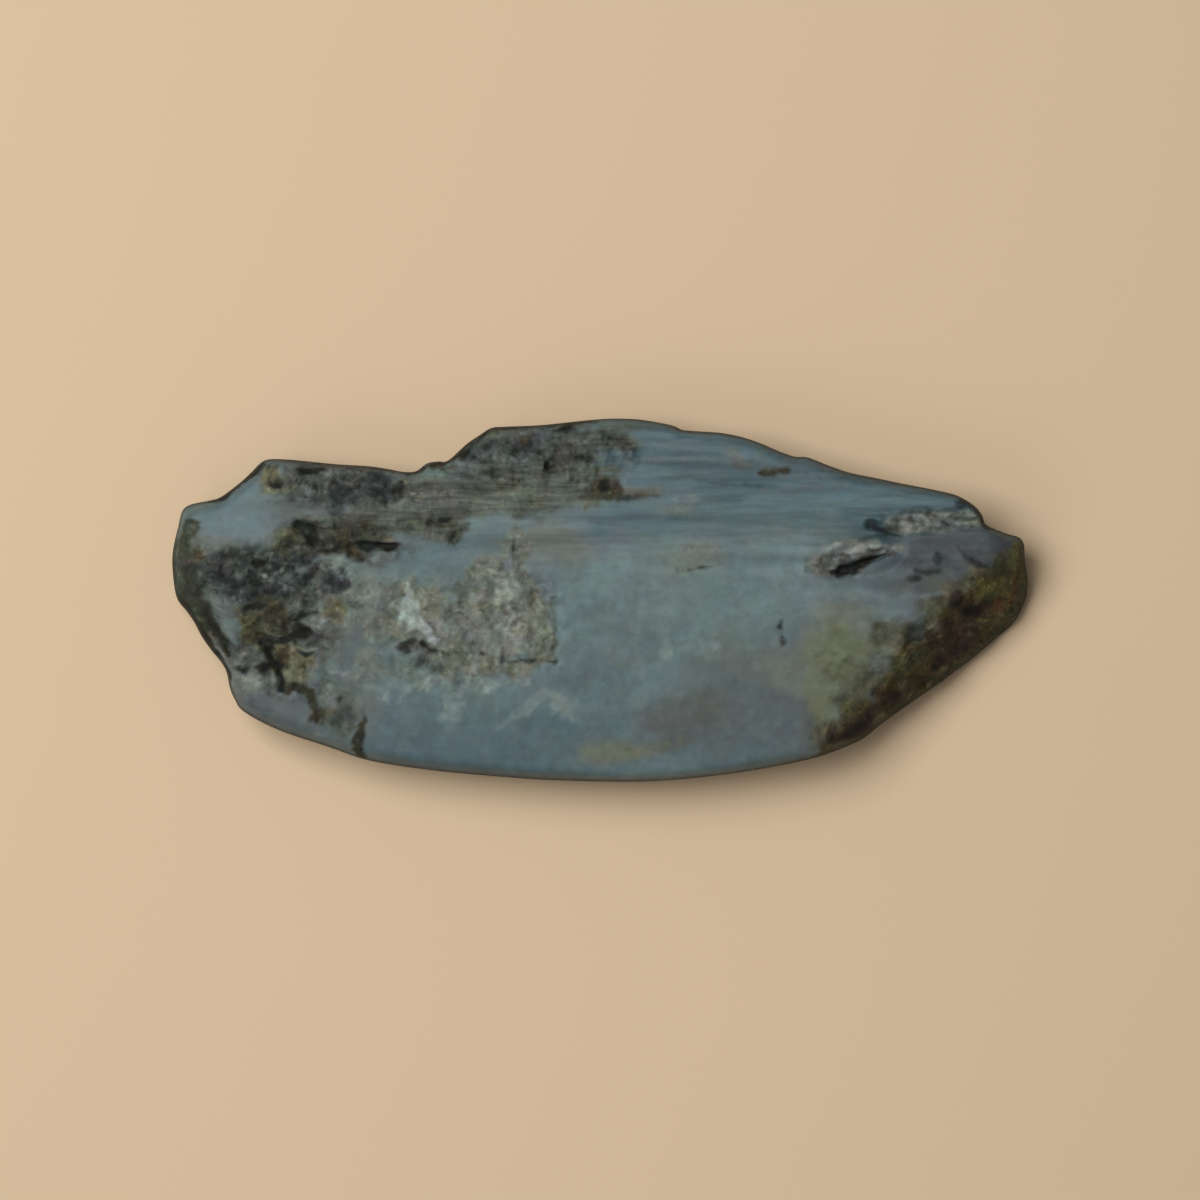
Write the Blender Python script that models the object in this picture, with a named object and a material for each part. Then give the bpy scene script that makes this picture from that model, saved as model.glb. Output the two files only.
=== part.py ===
"""A slice of blue agate: one worn slab of stone, broad face up, sawn flat underneath.

Lengths are in millimetres until the last step, which puts them in metres. +Z is up, +X runs along the
stone towards the end with the ledge, and the origin is on the sawn face, at the middle of the stone's box.
"""

import bmesh
import bpy
import numpy as np

MM = 0.001

# Driving dimensions
FACE_HEIGHT = 11.4
HALF_LENGTH = 45.0
HALF_WIDTH = 19.0
CROWN_ALONG = 0.7
CROWN_ACROSS = 0.5
FACE_WAVE_SIZE = 11
FACE_WAVE_HEIGHT = 0.25

# The outline as seen from above, clockwise from the right-hand end, (x, y)
OUTLINE = (
    (45.0, 1.6), (44.8, 0.0), (44.1, -1.6), (43.2, -2.8), (41.9, -3.9), (38.8, -6.5), (36.7, -8.0),
    (34.6, -9.5), (32.5, -10.9), (29.3, -13.2), (27.8, -14.4), (26.2, -15.2), (24.1, -16.0),
    (20.9, -16.9), (13.6, -18.2), (5.2, -19.0), (-4.3, -18.9), (-10.6, -18.5), (-17.9, -17.8),
    (-24.2, -16.8), (-28.4, -15.4), (-33.7, -13.6), (-37.3, -11.7), (-38.3, -10.4), (-38.8, -9.2),
    (-39.1, -7.6), (-39.7, -6.5), (-40.8, -5.2), (-41.8, -3.8), (-42.6, -2.3), (-43.4, -1.2),
    (-44.4, 0.0), (-44.8, 1.6), (-45.0, 4.0), (-44.8, 5.8), (-44.3, 7.6), (-43.8, 9.3), (-42.9, 10.0),
    (-41.0, 10.4), (-39.7, 10.8), (-37.8, 12.2), (-36.6, 13.3), (-35.5, 14.4), (-34.5, 14.75),
    (-32.6, 14.7), (-30.5, 14.5), (-27.4, 14.2), (-24.2, 14.0), (-22.1, 13.7), (-20.5, 13.4),
    (-19.2, 13.5), (-18.1, 14.3), (-16.9, 14.5), (-15.9, 14.6), (-14.0, 16.3), (-12.7, 17.2),
    (-11.4, 18.0), (-10.0, 18.15), (-6.4, 18.3), (-1.6, 18.8), (1.0, 19.0), (3.6, 18.95),
    (5.2, 18.75), (6.6, 18.5), (7.8, 18.2), (8.7, 17.8), (10.5, 17.65), (12.6, 17.5), (14.7, 17.1),
    (16.8, 16.4), (18.9, 15.5), (20.4, 15.0), (21.8, 14.9), (24.1, 14.0), (26.2, 13.3), (28.9, 12.75),
    (31.5, 12.2), (34.1, 11.7), (36.8, 11.1), (38.0, 10.6), (39.2, 9.8), (39.95, 8.9), (40.35, 7.95),
    (41.4, 7.4), (42.8, 6.9), (44.0, 6.55), (44.5, 5.8), (44.6, 4.3), (44.9, 2.7),
)
CURVE_STEPS = 12
NORMAL_REACH = 0.003
RIM_STEPS = 2000
RIM_CHUNKS = 40

# Where the face breaks away: a point of the crease, its height, the way down in degrees, slope, blend
FACETS = (
    (33.4, -4.6, 10.6, -42.6, 1.10, 0.9),
    (41.7, 5.0, 10.6, 6.0, 0.85, 0.8),
    (-42.2, 4.5, 10.6, 186.0, 2.1, 0.8),
    (-40.3, -1.6, 10.5, 201.0, 1.9, 0.8),
    (-35.5, 8.2, 10.9, 140.0, 0.34, 0.6),
    (-31.0, -9.0, 10.9, 222.0, 0.26, 1.5),
    (0.0, 9.0, 11.2, 90.0, 0.15, 1.5),
    (0.0, -9.5, 11.2, 270.0, 0.13, 1.5),
)

# How the rim is rounded and the flank undercut, by direction: degrees, width, drop, undercut
RIM = (
    (0, 1.6, 2.0, 1.4), (11, 0.9, 2.8, 2.0), (25, 1.0, 3.0, 3.2), (60, 1.0, 3.4, 2.4),
    (100, 1.1, 3.6, 1.6), (130, 1.1, 3.4, 3.0), (158, 1.3, 3.4, 2.0), (172, 1.4, 2.8, 1.6),
    (183, 1.0, 1.4, 1.0), (192, 1.4, 2.4, 1.8), (205, 1.8, 3.6, 3.0), (235, 1.4, 4.0, 2.0),
    (270, 1.2, 4.0, 2.8), (300, 1.2, 3.8, 3.4), (322, 1.4, 3.0, 1.6), (338, 1.3, 1.4, 0.7),
    (360, 1.6, 2.0, 1.4),
)

# The ledge: the upper layer of stone ends in a riser, and the layer below it runs on to the tip
RISER_START = (27.0, 7.4)
RISER_END = (41.5, 8.5)
RISER_HALF_WIDTH = 1.2
RISER_WANDER = 0.5
RISER_WANDER_SIZE = 2.4
LEDGE_DROP = 1.4
LEDGE_RUN_IN = (22.0, 32.0)

# Grooves with round ends: start, end, radius at the start and at the end, depth
GROOVES = (
    ((28.1, 8.0), (31.4, 6.7), 0.85, 0.3, 1.4),
    ((25.3, 3.1), (31.2, 5.3), 0.95, 0.35, 2.4),
    ((-26.2, 5.0), (-21.6, 5.7), 0.6, 0.6, 1.6),
    ((-31.3, 7.6), (-30.0, 7.0), 1.0, 0.8, 0.7),
    ((0.0, 11.7), (1.6, 12.1), 0.9, 1.0, 0.9),
    ((-15.8, 13.6), (-8.6, 12.3), 0.5, 0.4, 0.45),
    ((-17.5, -5.7), (-4.6, -6.4), 0.4, 0.4, 0.35),
    ((-35.2, -4.0), (-33.2, -7.8), 0.6, 0.5, 0.5),
    ((-31.5, -9.0), (-29.0, -11.8), 0.5, 0.6, 0.4),
    ((8.0, 3.4), (11.6, 3.7), 0.35, 0.25, 0.2),
    ((-5.0, 14.0), (-4.4, 13.6), 0.8, 0.8, 0.6),
    ((-40.9, -3.6), (-39.0, -6.4), 0.7, 0.6, 0.8),
)
GROOVE_FADE = (0.45, 1.25)
GROOVE_WANDER = 0.15
GROOVE_WANDER_SIZE = 1.2

# Shallow bowls: middle, half length, half width, turn in degrees, depth
BOWLS = (
    ((27.2, 4.3), 5.0, 2.0, 14, 0.9),
    ((-11.5, -2.2), 8.2, 5.2, 0, 0.3),
    ((-35.0, 2.6), 7.2, 2.8, 5, 0.5),
    ((-26.5, 11.9), 7.6, 1.9, -3, 0.5),
    ((-6.8, 15.8), 7.4, 2.3, 2, 0.5),
)
BOWL_FADE = (0.55, 1.1)
BOWL_WANDER = 0.12
BOWL_WANDER_SIZE = 2

# Patches of rough stone: middle, half length, half width, turn in degrees, height of the lumps
ROUGH_PATCHES = (
    ((-10.0, -2.0), 6.5, 6.0, 0, 0.30),
    ((-17.0, -4.5), 6.0, 4.5, 0, 0.25),
    ((-35.0, 2.4), 8.0, 4.0, 5, 0.45),
    ((-26.0, 11.8), 8.5, 2.4, -3, 0.40),
    ((-5.0, 15.0), 9.5, 3.4, 2, 0.45),
    ((-28.0, 6.8), 7.5, 2.2, 5, 0.35),
    ((-33.5, -5.0), 4.5, 5.5, 20, 0.40),
    ((37.0, -5.0), 10.0, 4.5, 43, 0.55),
    ((34.0, 8.3), 7.0, 1.4, 4, 0.30),
)
ROUGH_FADE = (0.75, 1.15)
LUMP_SIZE = 1.7

# Low ridges along the bands, which fade in towards the back edge and towards the tip
RIDGE_LENGTH = 16.0
RIDGE_WIDTH = 1.5
RIDGE_HEIGHT = 0.11
RIDGE_SLANT = 0.05
RIDGE_FADE_ACROSS = (0, 5)
RIDGE_FADE_ALONG = (-24, -12)

# Where each form reads the noise, so that no two have the same lumps
LUMP_LEVEL, WAVE_LEVEL, RIDGE_LEVEL, BOWL_LEVEL, RISER_LEVEL, GROOVE_LEVEL = 0, 1, 3, 5, 7, 9

# The flank below the rim
FLANK_LUMP_SIZE = 3.6
FLANK_LUMP_SQUEEZE = 1.5
FLANK_INSET = 0.42
FLANK_LUMP_DEPTH = 0.42
FLANK_LUMP_FADE_END = 0.75
SAW_MARGIN = 0.8

# The mesh
COLUMNS, ROWS = 224, 96
FLANK_RINGS = 14
SHARP_ANGLE = np.radians(50)
TRIANGLES = 9450
LISTING_DIRECTION = (1, 0.317, 0.0931)


def corner_value(i, j, k):
    """A repeatable random number from -1 to 1 for each whole-numbered corner of a lattice."""
    mixed = (i * 73856093) ^ (j * 19349663) ^ (k * 83492791)
    mixed = (mixed ^ (mixed >> 13)) * 1274126177
    return ((mixed >> 16) & 0xFFFF) / 32767.5 - 1


def noise(x, y, z, size):
    """Lumps about `size` across: the corner values of a lattice, blended smoothly between its corners."""
    scaled = [np.asarray(c, float) / size for c in (x, y, z)]
    cell = [np.floor(c).astype(np.int64) for c in scaled]
    ease = [(c - f) ** 2 * (3 - 2 * (c - f)) for c, f in zip(scaled, cell)]
    total = 0.0
    for corner in np.ndindex(2, 2, 2):
        weight = 1.0
        for share, step in zip(ease, corner):
            weight = weight * (share if step else 1 - share)
        total = total + weight * corner_value(*(f + step for f, step in zip(cell, corner)))
    return total


def fractal(x, y, z, size, octaves=3):
    """Noise with finer noise on it, each octave half the size and half the height of the last."""
    return sum(0.5**n * noise(x, y, z, size * 0.5**n) for n in range(octaves))


def smooth_step(low, high, value):
    """0 below low, 1 above high, and an even S between them."""
    share = np.clip((value - low) / (high - low), 0, 1)
    return share * share * (3 - 2 * share)


def smooth_min(first, second, blend):
    """The lower of two heights, with their meeting rounded over `blend`."""
    share = np.clip(0.5 + 0.5 * (second - first) / blend, 0, 1)
    return second + (first - second) * share - blend * share * (1 - share)


def outline_curve():
    """The closed outline: a Catmull-Rom curve through OUTLINE, resampled in equal lengths of curve."""
    points = np.array(OUTLINE)
    before, after, beyond = (np.roll(points, -n, axis=0) for n in (-1, 1, 2))
    pieces = []
    for share in np.arange(CURVE_STEPS) / CURVE_STEPS:
        pieces.append(
            points
            + 0.5 * share * (after - before)
            + share**2 * (before - 2.5 * points + 2 * after - 0.5 * beyond)
            + share**3 * (1.5 * (points - after) + 0.5 * (beyond - before))
        )
    curve = np.stack(pieces, axis=1).reshape(-1, 2)
    closed = np.vstack([curve, curve[:1]])
    lengths = np.concatenate([[0], np.cumsum(np.linalg.norm(np.diff(closed, axis=0), axis=1))])
    return closed, lengths / lengths[-1]


def outline_at(around):
    """The outline's points and outward normals, at shares of its length from 0 to 1."""
    curve, shares = outline_curve()
    x, y = (np.interp(around % 1, shares, curve[:, n]) for n in (0, 1))
    along_x, along_y = (
        np.interp((around + NORMAL_REACH) % 1, shares, curve[:, n])
        - np.interp((around - NORMAL_REACH) % 1, shares, curve[:, n])
        for n in (0, 1)
    )
    length = np.hypot(along_x, along_y)
    return x, y, -along_y / length, along_x / length


def ring_share(a, b):
    """How far round its own square ring a grid point lies, from 0 to 1, starting at the right."""
    out = np.maximum(np.abs(a), np.abs(b))
    u, v = (c / np.where(out > 0, out, 1) for c in (a, b))
    sides = [u >= 1 - 1e-6, v >= 1 - 1e-6, u <= -1 + 1e-6]
    distance = np.select(
        sides,
        [v * ROWS, ROWS + (1 - u) * COLUMNS, ROWS + 2 * COLUMNS + (1 - v) * ROWS],
        3 * ROWS + 2 * COLUMNS + (1 + u) * COLUMNS,
    )
    return (-distance / (4 * (ROWS + COLUMNS))) % 1, out


def rim_distance(x, y):
    """How far each point is inside the outline, measured square to the curve at its nearest point."""
    shares = np.arange(RIM_STEPS) / RIM_STEPS
    rim_x, rim_y, normal_x, normal_y = outline_at(shares)
    nearest = [
        np.argmin((part_x[:, None] - rim_x) ** 2 + (part_y[:, None] - rim_y) ** 2, axis=1)
        for part_x, part_y in zip(np.array_split(x, RIM_CHUNKS), np.array_split(y, RIM_CHUNKS))
    ]
    at = np.concatenate(nearest)
    return np.abs((x - rim_x[at]) * normal_x[at] + (y - rim_y[at]) * normal_y[at])


def rim_shape(x, y):
    """Width and drop of the rounded rim and the undercut below it, by direction from the middle."""
    angle = np.degrees(np.arctan2(y, x)) % 360
    stations = np.array(RIM, float)
    return [np.interp(angle, stations[:, 0], stations[:, n]) for n in (1, 2, 3)]


def patch_share(x, y, middle, half_length, half_width, turn):
    """Distance from an ellipse's middle, where 1 is its edge."""
    cos, sin = np.cos(np.radians(turn)), np.sin(np.radians(turn))
    along = (x - middle[0]) * cos + (y - middle[1]) * sin
    across = (y - middle[1]) * cos - (x - middle[0]) * sin
    return np.hypot(along / half_length, across / half_width)


def groove_share(x, y, start, end, start_radius, end_radius):
    """Distance from the line that joins two points, where 1 is the groove's radius there."""
    run_x, run_y = end[0] - start[0], end[1] - start[1]
    share = ((x - start[0]) * run_x + (y - start[1]) * run_y) / (run_x**2 + run_y**2)
    share = np.clip(share, 0, 1)
    reach = np.hypot(x - start[0] - share * run_x, y - start[1] - share * run_y)
    return reach / (start_radius + (end_radius - start_radius) * share)


def facets(x, y, height):
    """The face cut down by each facet's plane."""
    for crease_x, crease_y, crease_height, way_down, slope, blend in FACETS:
        cos, sin = np.cos(np.radians(way_down)), np.sin(np.radians(way_down))
        beyond = (x - crease_x) * cos + (y - crease_y) * sin
        height = smooth_min(height, crease_height - slope * beyond, blend)
    return height


def ledge(x, y):
    """How much lower the stone is on the tip's side of the riser."""
    run_x, run_y = RISER_END[0] - RISER_START[0], RISER_END[1] - RISER_START[1]
    above = ((y - RISER_START[1]) * run_x - (x - RISER_START[0]) * run_y) / np.hypot(run_x, run_y)
    above = above + RISER_WANDER * noise(x, y, RISER_LEVEL, RISER_WANDER_SIZE)
    lower = 1 - smooth_step(-RISER_HALF_WIDTH, RISER_HALF_WIDTH, above)
    return LEDGE_DROP * lower * smooth_step(*LEDGE_RUN_IN, x)


def ridges(x, y):
    """Low ridges along the bands of the upper half: noise drawn out lengthways."""
    across = (y - RIDGE_SLANT * x) * RIDGE_LENGTH / RIDGE_WIDTH
    share = smooth_step(*RIDGE_FADE_ACROSS, y) * smooth_step(*RIDGE_FADE_ALONG, x)
    return RIDGE_HEIGHT * share * fractal(x, across, RIDGE_LEVEL, RIDGE_LENGTH, 2)


def rough_lumps(x, y):
    """Lumps in the rough patches, fading at each patch's edge."""
    tallest = 0.0
    for middle, half_length, half_width, turn, height in ROUGH_PATCHES:
        inside = 1 - smooth_step(*ROUGH_FADE, patch_share(x, y, middle, half_length, half_width, turn))
        tallest = np.maximum(tallest, inside * height)
    return tallest * fractal(x, y, LUMP_LEVEL, LUMP_SIZE, 2)


def hollows(x, y):
    """Depth of the bowls and grooves."""
    depth = 0.0
    wander = BOWL_WANDER * noise(x, y, BOWL_LEVEL, BOWL_WANDER_SIZE)
    for middle, half_length, half_width, turn, bowl_depth in BOWLS:
        share = patch_share(x, y, middle, half_length, half_width, turn) + wander
        depth = depth + bowl_depth * (1 - smooth_step(*BOWL_FADE, share))
    wander = GROOVE_WANDER * noise(x, y, GROOVE_LEVEL, GROOVE_WANDER_SIZE)
    for *groove, groove_depth in GROOVES:
        share = groove_share(x, y, *groove) + wander
        depth = depth + groove_depth * (1 - smooth_step(*GROOVE_FADE, share))
    return depth


def face_height(x, y):
    """Height of the broad face over a point, before its rim is rounded."""
    height = FACE_HEIGHT - CROWN_ALONG * (x / HALF_LENGTH) ** 2 - CROWN_ACROSS * (y / HALF_WIDTH) ** 2
    height = height + FACE_WAVE_HEIGHT * noise(x, y, WAVE_LEVEL, FACE_WAVE_SIZE)
    height = facets(x, y, height) - ledge(x, y)
    return height + ridges(x, y) + rough_lumps(x, y) - hollows(x, y)


def rounded_height(x, y):
    """The face with its rim rounded: a quarter of an ellipse, `width` wide and `drop` high."""
    width, drop, _ = rim_shape(x, y)
    share = np.clip(1 - rim_distance(x, y) / width, 0, 1)
    return face_height(x, y) - drop * (1 - np.sqrt(1 - share**2))


def stone_surface(a, b, down):
    """The grid in shape: a, b place a point within the outline, and down runs from 0 to 1 below the rim."""
    around, out = ring_share(a, b)
    rim_x, rim_y, normal_x, normal_y = outline_at(around)
    x, y = rim_x * out, rim_y * out
    top = rounded_height(x, y)
    height = top * (1 - down) - SAW_MARGIN * down
    lumps = FLANK_LUMP_DEPTH * fractal(rim_x, rim_y, height * FLANK_LUMP_SQUEEZE, FLANK_LUMP_SIZE)
    lump_share = np.sin(np.pi * np.minimum(down, FLANK_LUMP_FADE_END))
    _, _, undercut = rim_shape(rim_x, rim_y)
    inset = undercut * down**2 + (FLANK_INSET + lumps) * lump_share
    return np.stack([x - normal_x * inset, y - normal_y * inset, height], axis=1)


def flat_sheet_with_skirt():
    """A flat grid from -1 to 1 with its rim extruded down in rings: the stone before it is shaped."""
    sheet = bmesh.new()
    bmesh.ops.create_grid(sheet, x_segments=COLUMNS, y_segments=ROWS, size=1)
    for _ in range(FLANK_RINGS):
        rim = [edge for edge in sheet.edges if edge.is_boundary]
        made = bmesh.ops.extrude_edge_only(sheet, edges=rim)["geom"]
        lowered = [part for part in made if isinstance(part, bmesh.types.BMVert)]
        bmesh.ops.translate(sheet, verts=lowered, vec=(0, 0, -1 / FLANK_RINGS))
    mesh = bpy.data.meshes.new("stone, unsawn")
    sheet.to_mesh(mesh)
    sheet.free()
    return mesh


def press_into_shape(mesh):
    """Moves the flat sheet's points onto the stone's surface, in metres."""
    places = np.empty(len(mesh.vertices) * 3, np.float32)
    mesh.vertices.foreach_get("co", places)
    a, b, below = places.reshape(-1, 3).astype(float).T
    shaped = stone_surface(a, b, np.clip(-below, 0, 1)) * MM
    mesh.vertices.foreach_set("co", shaped.astype(np.float32).ravel())


def thinned(mesh, triangles):
    """The mesh with its flatter triangles collapsed, by a Decimate modifier that is then applied."""
    helper = bpy.data.objects.new("stone, unsawn", mesh)
    bpy.context.scene.collection.objects.link(helper)
    thin_out = helper.modifiers.new("thin out", "DECIMATE")
    thin_out.ratio = triangles / (2 * len(mesh.polygons))
    evaluated = helper.evaluated_get(bpy.context.evaluated_depsgraph_get())
    thin_mesh = bpy.data.meshes.new_from_object(evaluated)
    bpy.data.objects.remove(helper)
    return thin_mesh


def sawn_flat(mesh):
    """The stone cut along z = 0, with one flat face where the saw went through.

    Its points and faces are then put in order along one direction, so that every build lists them alike.
    """
    stone = bmesh.new()
    stone.from_mesh(mesh)
    everything = stone.verts[:] + stone.edges[:] + stone.faces[:]
    bmesh.ops.bisect_plane(stone, geom=everything, plane_co=(0, 0, 0), plane_no=(0, 0, 1), clear_inner=True)
    bmesh.ops.contextual_create(stone, geom=[edge for edge in stone.edges if edge.is_boundary])
    bmesh.ops.recalc_face_normals(stone, faces=stone.faces)
    stone.verts.sort(key=lambda point: point.co.dot(LISTING_DIRECTION))
    stone.faces.sort(key=lambda face: face.calc_center_median().dot(LISTING_DIRECTION))
    stone.to_mesh(mesh)
    stone.free()


def agate_material():
    """Blue-grey chalcedony, worn to a satin."""
    material = bpy.data.materials.new("agate")
    material.use_nodes = True
    shader = material.node_tree.nodes["Principled BSDF"]
    shader.inputs["Base Color"].default_value = (0.11, 0.15, 0.155, 1)
    shader.inputs["Roughness"].default_value = 0.42
    shader.inputs["Metallic"].default_value = 0.0
    return material


def build():
    for old in list(bpy.data.objects):
        bpy.data.objects.remove(old)
    parts = bpy.data.collections.new("agate slice")
    bpy.context.scene.collection.children.link(parts)

    sheet = flat_sheet_with_skirt()
    press_into_shape(sheet)
    mesh = thinned(sheet, TRIANGLES)
    sawn_flat(mesh)
    mesh.materials.append(agate_material())
    mesh.shade_smooth()
    mesh.set_sharp_from_angle(angle=SHARP_ANGLE)
    parts.objects.link(bpy.data.objects.new("agate_slice", mesh))


build()
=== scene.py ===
"""The agate slice dressed: its stone in full detail, its finish, a plain floor, soft light and the camera.

Lengths are in millimetres until a mesh is made, which puts them in metres. +X runs towards the end with
the ledge and +Z is up, as in the solid, whose forms are repeated here on a finer grid. The finish is laid
on in coats: each has a cover, made of patches and lines, a colour and a roughness.
"""
import bpy
import numpy as np
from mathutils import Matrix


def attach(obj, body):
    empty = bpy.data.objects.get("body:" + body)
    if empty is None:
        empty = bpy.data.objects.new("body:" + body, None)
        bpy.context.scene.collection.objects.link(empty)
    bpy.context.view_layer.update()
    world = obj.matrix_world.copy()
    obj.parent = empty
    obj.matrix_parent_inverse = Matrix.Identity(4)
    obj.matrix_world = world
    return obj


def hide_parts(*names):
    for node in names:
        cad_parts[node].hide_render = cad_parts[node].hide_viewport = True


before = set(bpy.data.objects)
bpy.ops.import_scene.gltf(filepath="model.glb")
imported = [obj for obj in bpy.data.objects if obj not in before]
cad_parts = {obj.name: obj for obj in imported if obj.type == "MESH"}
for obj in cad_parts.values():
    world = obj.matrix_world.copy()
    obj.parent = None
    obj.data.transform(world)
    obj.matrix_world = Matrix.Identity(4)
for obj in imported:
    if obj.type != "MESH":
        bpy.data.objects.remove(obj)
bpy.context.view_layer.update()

MM = 0.001

# ---- The forms of the solid, in its own values but for seven grooves ----
FACE_HEIGHT = 11.4
HALF_LENGTH = 45.0
HALF_WIDTH = 19.0
CROWN_ALONG = 0.7
CROWN_ACROSS = 0.5
FACE_WAVE_SIZE = 11
FACE_WAVE_HEIGHT = 0.25

# The outline as seen from above, clockwise from the right-hand end, (x, y)
OUTLINE = (
    (45.0, 1.6), (44.8, 0.0), (44.1, -1.6), (43.2, -2.8), (41.9, -3.9), (38.8, -6.5), (36.7, -8.0),
    (34.6, -9.5), (32.5, -10.9), (29.3, -13.2), (27.8, -14.4), (26.2, -15.2), (24.1, -16.0),
    (20.9, -16.9), (13.6, -18.2), (5.2, -19.0), (-4.3, -18.9), (-10.6, -18.5), (-17.9, -17.8),
    (-24.2, -16.8), (-28.4, -15.4), (-33.7, -13.6), (-37.3, -11.7), (-38.3, -10.4), (-38.8, -9.2),
    (-39.1, -7.6), (-39.7, -6.5), (-40.8, -5.2), (-41.8, -3.8), (-42.6, -2.3), (-43.4, -1.2),
    (-44.4, 0.0), (-44.8, 1.6), (-45.0, 4.0), (-44.8, 5.8), (-44.3, 7.6), (-43.8, 9.3), (-42.9, 10.0),
    (-41.0, 10.4), (-39.7, 10.8), (-37.8, 12.2), (-36.6, 13.3), (-35.5, 14.4), (-34.5, 14.75),
    (-32.6, 14.7), (-30.5, 14.5), (-27.4, 14.2), (-24.2, 14.0), (-22.1, 13.7), (-20.5, 13.4),
    (-19.2, 13.5), (-18.1, 14.3), (-16.9, 14.5), (-15.9, 14.6), (-14.0, 16.3), (-12.7, 17.2),
    (-11.4, 18.0), (-10.0, 18.15), (-6.4, 18.3), (-1.6, 18.8), (1.0, 19.0), (3.6, 18.95),
    (5.2, 18.75), (6.6, 18.5), (7.8, 18.2), (8.7, 17.8), (10.5, 17.65), (12.6, 17.5), (14.7, 17.1),
    (16.8, 16.4), (18.9, 15.5), (20.4, 15.0), (21.8, 14.9), (24.1, 14.0), (26.2, 13.3), (28.9, 12.75),
    (31.5, 12.2), (34.1, 11.7), (36.8, 11.1), (38.0, 10.6), (39.2, 9.8), (39.95, 8.9), (40.35, 7.95),
    (41.4, 7.4), (42.8, 6.9), (44.0, 6.55), (44.5, 5.8), (44.6, 4.3), (44.9, 2.7),
)
# Points of the curve for each point above; how far to each side its normal is measured, as a share of its
# length; places along it where distances are taken, and parts that the points are split into for that
CURVE_STEPS = 12
NORMAL_REACH = 0.003
RIM_STEPS = 2000
RIM_CHUNKS = 60

# Where the face breaks away: a point of the crease, its height, the way down in degrees, slope, blend
FACETS = (
    (33.4, -4.6, 10.6, -42.6, 1.10, 0.9),
    (41.7, 5.0, 10.6, 6.0, 0.85, 0.8),
    (-42.2, 4.5, 10.6, 186.0, 2.1, 0.8),
    (-40.3, -1.6, 10.5, 201.0, 1.9, 0.8),
    (-35.5, 8.2, 10.9, 140.0, 0.34, 0.6),
    (-31.0, -9.0, 10.9, 222.0, 0.26, 1.5),
    (0.0, 9.0, 11.2, 90.0, 0.15, 1.5),
    (0.0, -9.5, 11.2, 270.0, 0.13, 1.5),
)

# How the rim is rounded and the flank undercut, by direction from the middle: degrees, then width, drop
# and undercut
RIM = (
    (0, 1.6, 2.0, 1.4), (11, 0.9, 2.8, 2.0), (25, 1.0, 3.0, 3.2), (60, 1.0, 3.4, 2.4),
    (100, 1.1, 3.6, 1.6), (130, 1.1, 3.4, 3.0), (158, 1.3, 3.4, 2.0), (172, 1.4, 2.8, 1.6),
    (183, 1.0, 1.4, 1.0), (192, 1.4, 2.4, 1.8), (205, 1.8, 3.6, 3.0), (235, 1.4, 4.0, 2.0),
    (270, 1.2, 4.0, 2.8), (300, 1.2, 3.8, 3.4), (322, 1.4, 3.0, 1.6), (338, 1.3, 1.4, 0.7),
    (360, 1.6, 2.0, 1.4),
)

# The ledge: the upper layer of stone ends in a riser, and the layer below it runs on to the tip
RISER_START = (27.0, 7.4)
RISER_END = (41.5, 8.5)
RISER_HALF_WIDTH = 1.2
RISER_WANDER = 0.5
RISER_WANDER_SIZE = 2.4
LEDGE_DROP = 1.4
LEDGE_RUN_IN = (22.0, 32.0)

# Grooves with round ends: start, end, radius at the start and at the end, depth. Seven are narrower or
# shallower than the solid's, because on this finer grid its own come out too wide and too dark.
GROOVES = (
    ((28.2, 7.9), (31.4, 6.8), 0.6, 0.15, 0.45),
    ((25.2, 2.9), (29.8, 4.7), 0.6, 0.2, 0.7),
    ((-25.8, 5.5), (-21.6, 5.6), 0.7, 0.3, 0.5),
    ((-31.3, 7.6), (-30.0, 7.0), 0.9, 0.7, 0.5),
    ((0.0, 11.7), (1.6, 12.1), 0.9, 1.0, 0.25),
    ((-15.8, 13.6), (-8.6, 12.3), 0.5, 0.4, 0.45),
    ((-17.5, -5.7), (-4.6, -6.4), 0.4, 0.4, 0.18),
    ((-35.2, -4.0), (-33.2, -7.8), 0.6, 0.5, 0.5),
    ((-31.5, -9.0), (-29.0, -11.8), 0.5, 0.6, 0.4),
    ((8.2, 3.1), (11.0, 3.4), 0.2, 0.15, 0.1),
    ((-5.0, 14.0), (-4.4, 13.6), 0.8, 0.8, 0.6),
    ((-40.9, -3.6), (-39.0, -6.4), 0.7, 0.6, 0.8),
)
GROOVE_FADE = (0.45, 1.25)
GROOVE_WANDER = 0.3
GROOVE_WANDER_SIZE = 1.2

# Shallow bowls: middle, half length, half width, turn in degrees, depth
BOWLS = (
    ((27.2, 4.3), 5.0, 2.0, 14, 0.9),
    ((-11.5, -2.2), 8.2, 5.2, 0, 0.3),
    ((-35.0, 2.6), 7.2, 2.8, 5, 0.5),
    ((-26.5, 11.9), 7.6, 1.9, -3, 0.5),
    ((-6.8, 15.8), 7.4, 2.3, 2, 0.5),
)
BOWL_FADE = (0.55, 1.1)
BOWL_WANDER = 0.12
BOWL_WANDER_SIZE = 2

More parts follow.
